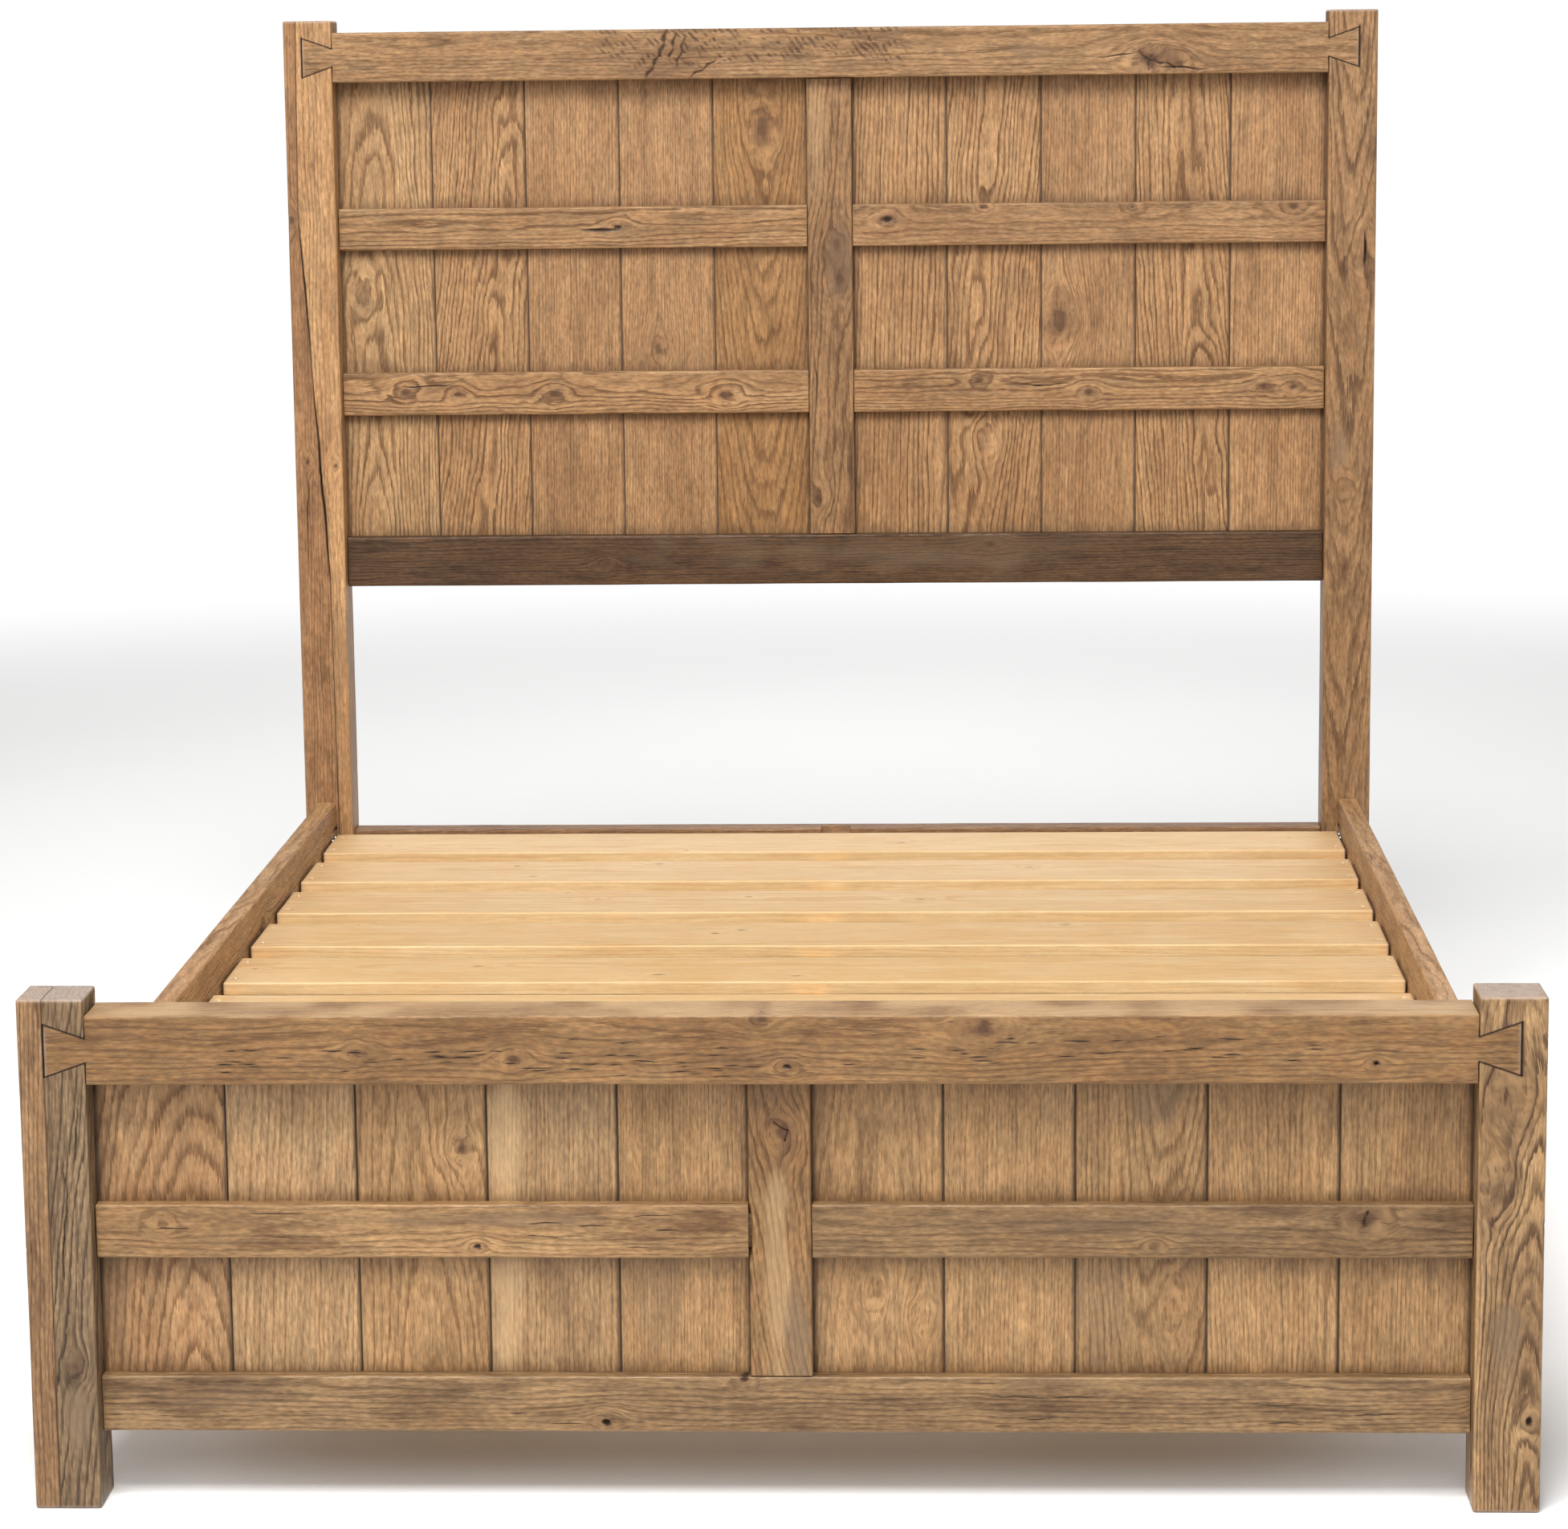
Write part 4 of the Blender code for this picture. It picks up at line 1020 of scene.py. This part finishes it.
def planks():
    for board_name, grains in (("foot", FOOT_PLANKS), ("head", HEAD_PLANKS)):
        for number, grain in enumerate(grains, start=1):
            node = f"{board_name}_plank_{number:02d}"
            grain.seed = 40 + number + (20 if board_name == "head" else 0)
            grain.shade *= PLANK_SHADES[board_name]
            grain.smudge = PLANK_SMUDGE
            # the edges of the rails, battens, stile and posts round the plank, where painted shade darkens
            # its front
            rails_over = [f"{board_name}_bottom_rail", f"{board_name}_top_rail"]
            rails_over += sorted(n for n in NODES if n.startswith(board_name) and n.endswith("batten_left"))
            heights = [v.z for n in rails_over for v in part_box(n)]
            corners = [(Z, z) for z in heights]
            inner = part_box(f"{board_name}_post_right")[0].x
            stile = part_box(f"{board_name}_centre_stile")[1].x
            corners += [(X, x) for x in (-inner, -stile, stile, inner)]
            pitch = (inner - stile) / PLANKS_PER_SIDE
            first = -inner if number <= PLANKS_PER_SIDE else stile - PLANKS_PER_SIDE * pitch
            start = first + (number - 1) * pitch
            board(node, Z, grain, PLANK_KNOTS.get(node, []), PLANK_STAINS.get(node, []), 0.0006, 0.3,
                  vees=(start, start + pitch), painted_shade_corners=corners)


# ---------------------------------------------------------------- sides, slats and centre support
def scattered_knots(node, through, count, radius, seed, strength=0.9):
    """A few knots anywhere on a plain timber."""
    chance = np.random.default_rng(seed)
    low, high = (np.array(corner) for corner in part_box(node))
    found = []
    for _ in range(count):
        size = radius * chance.uniform(0.5, 1.2)
        centre = tuple(chance.uniform(low + 2 * size, np.maximum(high - 2 * size, low + 2.1 * size)))
        found.append(Knot(centre, size, 1.4, 0.0, strength, through))
    return found


def sides():
    for side, word in ((-1, "left"), (1, "right")):
        node = f"side_rail_{word}"
        grain = Grain((side * 0.030, -0.02), (0.0, 0.012), 0.0048, 0.0030, 0.60, "honey", 75 + side)
        board(node, Y, grain, scattered_knots(node, X, 5, 0.011, 81 + side), step=1.5 * CELL)
        node = f"slat_ledger_{word}"
        grain = Grain((0.05, 0.05), (0.0, 0.0), 0.0040, 0.0010, 0.35, "pine", 78 + side)
        board(node, Y, grain, scattered_knots(node, X, 4, 0.006, 84 + side, 0.5), ease=0.0018,
              step=2 * CELL, trim=False)


SLAT_SCREW_EDGE = 0.0125         # from a slat's end
SLAT_SCREW_SPREAD = 0.050        # from its middle line
HEAD_RADIUS = 0.0042


def slat_screws(node):
    low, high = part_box(node)
    middle = (low.y + high.y) / 2
    return [(x, middle + spread, high.z) for x in (low.x + SLAT_SCREW_EDGE, high.x - SLAT_SCREW_EDGE)
            for spread in (-SLAT_SCREW_SPREAD, SLAT_SCREW_SPREAD)]


def slats():
    number = 1
    while f"slat_{number}" in NODES:
        node = f"slat_{number}"
        chance = np.random.default_rng(300 + number)
        grain = Grain((chance.uniform(-0.06, 0.06), -chance.uniform(0.02, 0.09)),
                      (0.0, chance.uniform(-0.02, 0.02)),
                      chance.uniform(0.0036, 0.0052), 0.0014, 0.40, "pine", 200 + number)
        sinks = [Scoop(place, (0.0052, 0.0052, 0.004), 0.0016, 0.15, 0.0, (X, Y))
                 for place in slat_screws(node)]
        board(node, X, grain, scattered_knots(node, Z, 4, 0.008, 400 + number, 0.6) + sinks,
              ease=0.0022, step=2 * CELL, trim=False)
        number += 1


def centre_support():
    board("centre_beam", Y, Grain((0.03, 0.05), (0.0, 0.0), 0.0046, 0.0014, 0.40, "pine", 221),
          scattered_knots("centre_beam", X, 6, 0.008, 421, 0.6), ease=0.0020, step=2 * CELL,
          trim=False)
    for number in (1, 2):
        board(f"centre_leg_{number}", Z,
              Grain((0.04, 0.05), (0.03, 0.0), 0.0042, 0.0012, 0.40, "pine", 221 + number),
              [knot(0.006, 0.19, 0.006, strength=0.6)], ease=0.0020)
    board("foot_beam_cleat", X, Grain((0.06, 0.03), (0.0, 0.02), 0.0042, 0.0012, 0.40, "pine", 225),
          ease=0.0018)


# ---------------------------------------------------------------- hardware
ZINC = steel_material("bright_zinc", (0.62, 0.62, 0.60), (0.42, 0.43, 0.44), 0.30)
YELLOW_ZINC = steel_material("yellow_zinc", (0.62, 0.53, 0.36), (0.48, 0.42, 0.34), 0.34)
BLACK = plastic_material("black_plastic")


def lathe(bm, profile, place, normal=(0, 0, 1), sides=28, change=None):
    """Turn (radius, height) pairs about a normal at a place. change(radius, height, angle) shapes it."""
    turn = Vector(normal).to_track_quat("Z", "Y")
    rings = []
    for radius, height in profile:
        if radius == 0:
            rings.append([bm.verts.new(turn @ Vector((0, 0, height)) + Vector(place))])
            continue
        ring = []
        for i in range(sides):
            angle = 2 * math.pi * i / sides
            r, h = change(radius, height, angle) if change else (radius, height)
            point = Vector((r * math.cos(angle), r * math.sin(angle), h))
            ring.append(bm.verts.new(turn @ point + Vector(place)))
        rings.append(ring)
    for lower, upper in zip(rings, rings[1:]):
        for i in range(sides):
            j = (i + 1) % sides
            corners = [lower[i % len(lower)], lower[j % len(lower)], upper[j % len(upper)],
                       upper[i % len(upper)]]
            unique = list(dict.fromkeys(corners))
            bm.faces.new(unique)
    for ring, turned in ((rings[0], True), (rings[-1], False)):
        if len(ring) > 1:
            bm.faces.new(list(reversed(ring)) if turned else ring)


def mesh_of(name, bm, sharp=SHARP):
    bmesh.ops.recalc_face_normals(bm, faces=bm.faces)
    mesh = bpy.data.meshes.new(name)
    bm.to_mesh(mesh)
    bm.free()
    mesh.shade_smooth()
    mesh.set_sharp_from_angle(angle=sharp)
    return mesh


def add_screw(bm, place, normal, radius=HEAD_RADIUS, proud=0.0016):
    """A cross-head screw: a domed head with its recess, and a cone below it."""
    def recess(r, h, angle):
        arm = min(abs(math.sin(angle)), abs(math.cos(angle))) * r
        inside = r < 0.58 * radius and arm < 0.17 * radius and h > 0
        return r, h - (0.0013 * (1 - r / radius) if inside else 0.0)

    top = [(radius * s, proud * (1 - 0.55 * s ** 3))
           for s in (0.97, 0.85, 0.72, 0.59, 0.56, 0.42, 0.28, 0.14)]
    profile = [(radius * 0.30, -0.0022), (radius * 0.98, -0.0002), (radius, proud * 0.22)] + top
    lathe(bm, profile + [(0, proud - 0.0013)], place, normal, 32, recess)


def screws(name, places, material=ZINC, proud=0.0016):
    """One piece of many identical screws; places is a list of (point, outward normal)."""
    bm = bmesh.new()
    for place, normal in places:
        add_screw(bm, place, normal, proud=proud)
    return show(name, mesh_of(name, bm), material)


PLATE_HOLES = (0.016, 0.045)     # from the plate's end at the post
PLATE_HOLE_INSET = 0.016         # from its top and bottom
LEDGER_SCREWS = 8


def hardware():
    for end, where in ((-1, "foot"), (1, "head")):
        for side, word in ((-1, "left"), (1, "right")):
            node = f"hook_plate_{where}_{word}"
            plate = NODES[node]
            rounding = plate.modifiers.new("rounded_edges", "BEVEL")
            rounding.width = 0.0005
            rounding.segments = 2
            rounding.limit_method = "ANGLE"
            plate.material_slots[0].link = "OBJECT"
            plate.material_slots[0].material = ZINC
            rail_low, rail_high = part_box(f"side_rail_{word}")
            low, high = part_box(node)
            rail_end = (rail_high if end > 0 else rail_low).y
            face = low.x if side > 0 else high.x
            places = [((face, rail_end - end * along, z), (-side, 0, 0)) for along in PLATE_HOLES
                      for z in (low.z + PLATE_HOLE_INSET, high.z - PLATE_HOLE_INSET)]
            screws(f"{node}_screws", places)
    for side, word in ((-1, "left"), (1, "right")):
        low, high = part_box(f"slat_ledger_{word}")
        face = low.x if side > 0 else high.x
        spread = np.linspace(low.y + 0.06, high.y - 0.06, LEDGER_SCREWS)
        screws(f"slat_ledger_{word}_screws",
               [((face + side * 0.0004, float(y), (low.z + high.z) / 2), (-side, 0, 0))
                                              for y in spread], YELLOW_ZINC)
    places = []
    number = 1
    while f"slat_{number}" in NODES:
        places += [((x, y, z - 0.0016), (0, 0, 1)) for x, y, z in slat_screws(f"slat_{number}")]
        number += 1
    screws("slat_screws", places, YELLOW_ZINC, 0.0008)
    low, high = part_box("foot_beam_cleat")
    screws("foot_beam_cleat_screws",
           [((x, high.y - 0.0003, z), (0, 1, 0)) for x in (low.x + 0.014, high.x - 0.014)
                                      for z in (low.z + 0.022, high.z - 0.022)], YELLOW_ZINC)


ROD = 0.0039
FOOT_RADIUS = 0.0198
THREAD_PITCH = 0.00125
THREAD_DEPTH = 0.0006
FLAT = 0.0065                    # half the spanner size of the foot's hexagon


def levelling_feet():
    for number in (1, 2):
        body = f"levelling_foot_{number}"
        node = f"leveller_{number}"
        low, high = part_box(node)
        centre = ((low.x + high.x) / 2, (low.y + high.y) / 2, 0.0)

        def ribbed(r, h, angle):
            return (r - 0.0005 * (0.5 + 0.5 * math.cos(24 * angle)) if 0.001 < h < 0.0062 else r), h

        foot = bmesh.new()
        rim = [(FOOT_RADIUS - 0.0018, 0.0002), (FOOT_RADIUS - 0.0006, 0.0006), (FOOT_RADIUS, 0.0016),
               (FOOT_RADIUS, 0.0046), (FOOT_RADIUS - 0.0005, 0.0060), (FOOT_RADIUS - 0.0022, 0.0072),
               (FOOT_RADIUS - 0.0060, 0.0082), (0.0092, 0.0087), (0.0078, 0.0087), (ROD + 0.0002, 0.0087)]
        lathe(foot, rim, centre, sides=96, change=ribbed)
        piece = show(node + "_pad", mesh_of(node + "_pad", foot), BLACK, [node], body)

        def hexagon(r, h, angle):
            turned = (angle + math.pi / 6) % (math.pi / 3) - math.pi / 6
            return min(r, FLAT / math.cos(turned)), h

        nut = bmesh.new()
        lathe(nut, [(0.0068, 0.0086), (0.0075, 0.0090), (0.0075, 0.0100), (0.0068, 0.0104),
                    (ROD + 0.0002, 0.0104)],
              centre, sides=48, change=hexagon)
        show(node + "_hexagon", mesh_of(node + "_hexagon", nut), ZINC, body=body)

        def thread(r, h, angle):
            phase = (h / THREAD_PITCH - angle / (2 * math.pi)) % 1.0
            fade = min(1.0, (high.z - h) / 0.002) if h > 0.0108 else 0.0
            return r - THREAD_DEPTH * fade * abs(2 * phase - 1), h

        rod = bmesh.new()
        rows = int((high.z - 0.0116) / (THREAD_PITCH / 6))
        profile = [(ROD, 0.0104)] + [(ROD, 0.0106 + i * THREAD_PITCH / 6) for i in range(rows)]
        lathe(rod, profile + [(ROD - 0.0008, high.z - 0.0003), (0, high.z - 0.0003)], centre, sides=24,
              change=thread)
        show(node + "_rod", mesh_of(node + "_rod", rod, math.radians(60)), ZINC, body=body)

        leg_low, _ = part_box(f"centre_leg_{number}")
        insert = bmesh.new()
        bottom, top = leg_low.z - 0.0012, leg_low.z + 0.0001
        ring = [(0.0048, top), (0.0048, bottom + 0.0003), (0.0054, bottom), (0.0105, bottom),
                (0.0110, bottom + 0.0005),
                (0.0110, top)]
        lathe(insert, ring, centre, sides=40)
        show(f"centre_leg_{number}_insert", mesh_of("insert", insert), YELLOW_ZINC)


# ---------------------------------------------------------------- floor, lights and camera
CAMERA_PLACE = (0.2131, -5.8368, 1.6569)
CAMERA_YAW = math.radians(-2.4466)       # to the left of +Y
CAMERA_PITCH = math.radians(-9.6025)
CAMERA_ROLL = math.radians(0.6437)
LENS = 100.2


FLOOR_RADIUS = 14.0
PLAIN_RADIUS = 4.2               # of the floor that only the lamps light
GLOWING_RADIUS = 7.5             # where the floor has become as bright as the room behind it
ROOM_LIGHT = 0.20


def studio():
    """A pale floor that fades into a bright, even room on every side."""
    material, n, shader = new_material("studio_floor")
    place = n.add("ShaderNodeTexCoord").outputs["Object"]
    cloud = n.noise(place, 2.0, 0.5, 1.5)
    n.set(shader.inputs["Base Color"], n.mix(cloud, (0.86, 0.86, 0.86), (0.89, 0.89, 0.885)))
    shader.inputs["Roughness"].default_value = 0.75
    shader.inputs["Specular IOR Level"].default_value = 0.2
    radius = n.tree.nodes.new("ShaderNodeVectorMath")
    radius.operation = "LENGTH"
    n.set(radius.inputs[0], place)
    glow = n.add("ShaderNodeEmission", Color=(1.0, 1.0, 1.0, 1.0), Strength=1.02)
    fade = n.tree.nodes.new("ShaderNodeMixShader")
    n.set(fade.inputs[0], n.step(radius.outputs["Value"], PLAIN_RADIUS, GLOWING_RADIUS))
    n.set(fade.inputs[1], shader.outputs[0])
    n.set(fade.inputs[2], glow.outputs[0])
    n.set(n.tree.nodes["Material Output"].inputs["Surface"], fade.outputs[0])
    bm = bmesh.new()
    bmesh.ops.create_circle(bm, cap_ends=True, radius=FLOOR_RADIUS, segments=96)
    mesh = bpy.data.meshes.new("studio_floor")
    bm.to_mesh(mesh)
    bm.free()
    mesh.materials.append(material)
    floor = bpy.data.objects.new("studio_floor", mesh)
    bpy.context.collection.objects.link(floor)

    world = bpy.data.worlds.new("soft_room")
    world.use_nodes = True
    n = Nodes(world.node_tree)
    seen = n.add("ShaderNodeBackground", Color=(1.0, 1.0, 1.0, 1.0), Strength=1.02)
    room = n.add("ShaderNodeBackground", Color=(1.0, 0.99, 0.975, 1.0), Strength=ROOM_LIGHT)
    both = n.tree.nodes.new("ShaderNodeMixShader")
    n.set(both.inputs[0], n.add("ShaderNodeLightPath").outputs["Is Camera Ray"])
    n.set(both.inputs[1], room.outputs[0])
    n.set(both.inputs[2], seen.outputs[0])
    n.set(n.tree.nodes["World Output"].inputs["Surface"], both.outputs[0])
    bpy.context.scene.world = world
    for name, place, aim, size, power in (
            ("key", (-0.5, -3.2, 4.6), (0, -0.3, 0.7), 2.2, 340),
            ("front_middle", (0.4, -5.8, 3.4), (0, -1.0, 0.5), 2.4, 80),
            ("front_left", (-3.8, -5.2, 4.0), (0, -0.3, 0.8), 2.6, 40),
            ("front_right", (3.8, -5.0, 3.8), (0, -0.3, 0.8), 2.6, 25),
            ("floor_left", (-4.6, 0.2, 3.6), (-3.4, 0.6, 0.0), 3.0, 60),
            ("floor_right", (4.6, 0.2, 3.6), (3.4, 0.6, 0.0), 3.0, 60),
            ("back", (0.0, 4.6, 3.6), (0, 2.2, 0.2), 3.2, 110)):
        light = bpy.data.lights.new(name, "AREA")
        light.size = size
        light.energy = power
        lamp = bpy.data.objects.new(name, light)
        lamp.location = place
        lamp.rotation_euler = (Vector(aim) - Vector(place)).to_track_quat("-Z", "Y").to_euler()
        bpy.context.collection.objects.link(lamp)


def camera():
    data = bpy.data.cameras.new("camera")
    data.lens = LENS
    data.sensor_width = 36.0
    data.clip_end = 60.0
    cam = bpy.data.objects.new("camera", data)
    level = Euler((math.pi / 2 + CAMERA_PITCH, 0.0, -CAMERA_YAW)).to_matrix()
    cam.rotation_euler = (level @ Euler((0.0, 0.0, -CAMERA_ROLL)).to_matrix()).to_euler()
    cam.location = CAMERA_PLACE
    bpy.context.collection.objects.link(cam)
    bpy.context.scene.camera = cam
    bpy.context.scene.view_settings.view_transform = "Standard"


posts()
rails()
stiles_and_battens()
planks()
sides()
slats()
centre_support()
hardware()
levelling_feet()
studio()
camera()
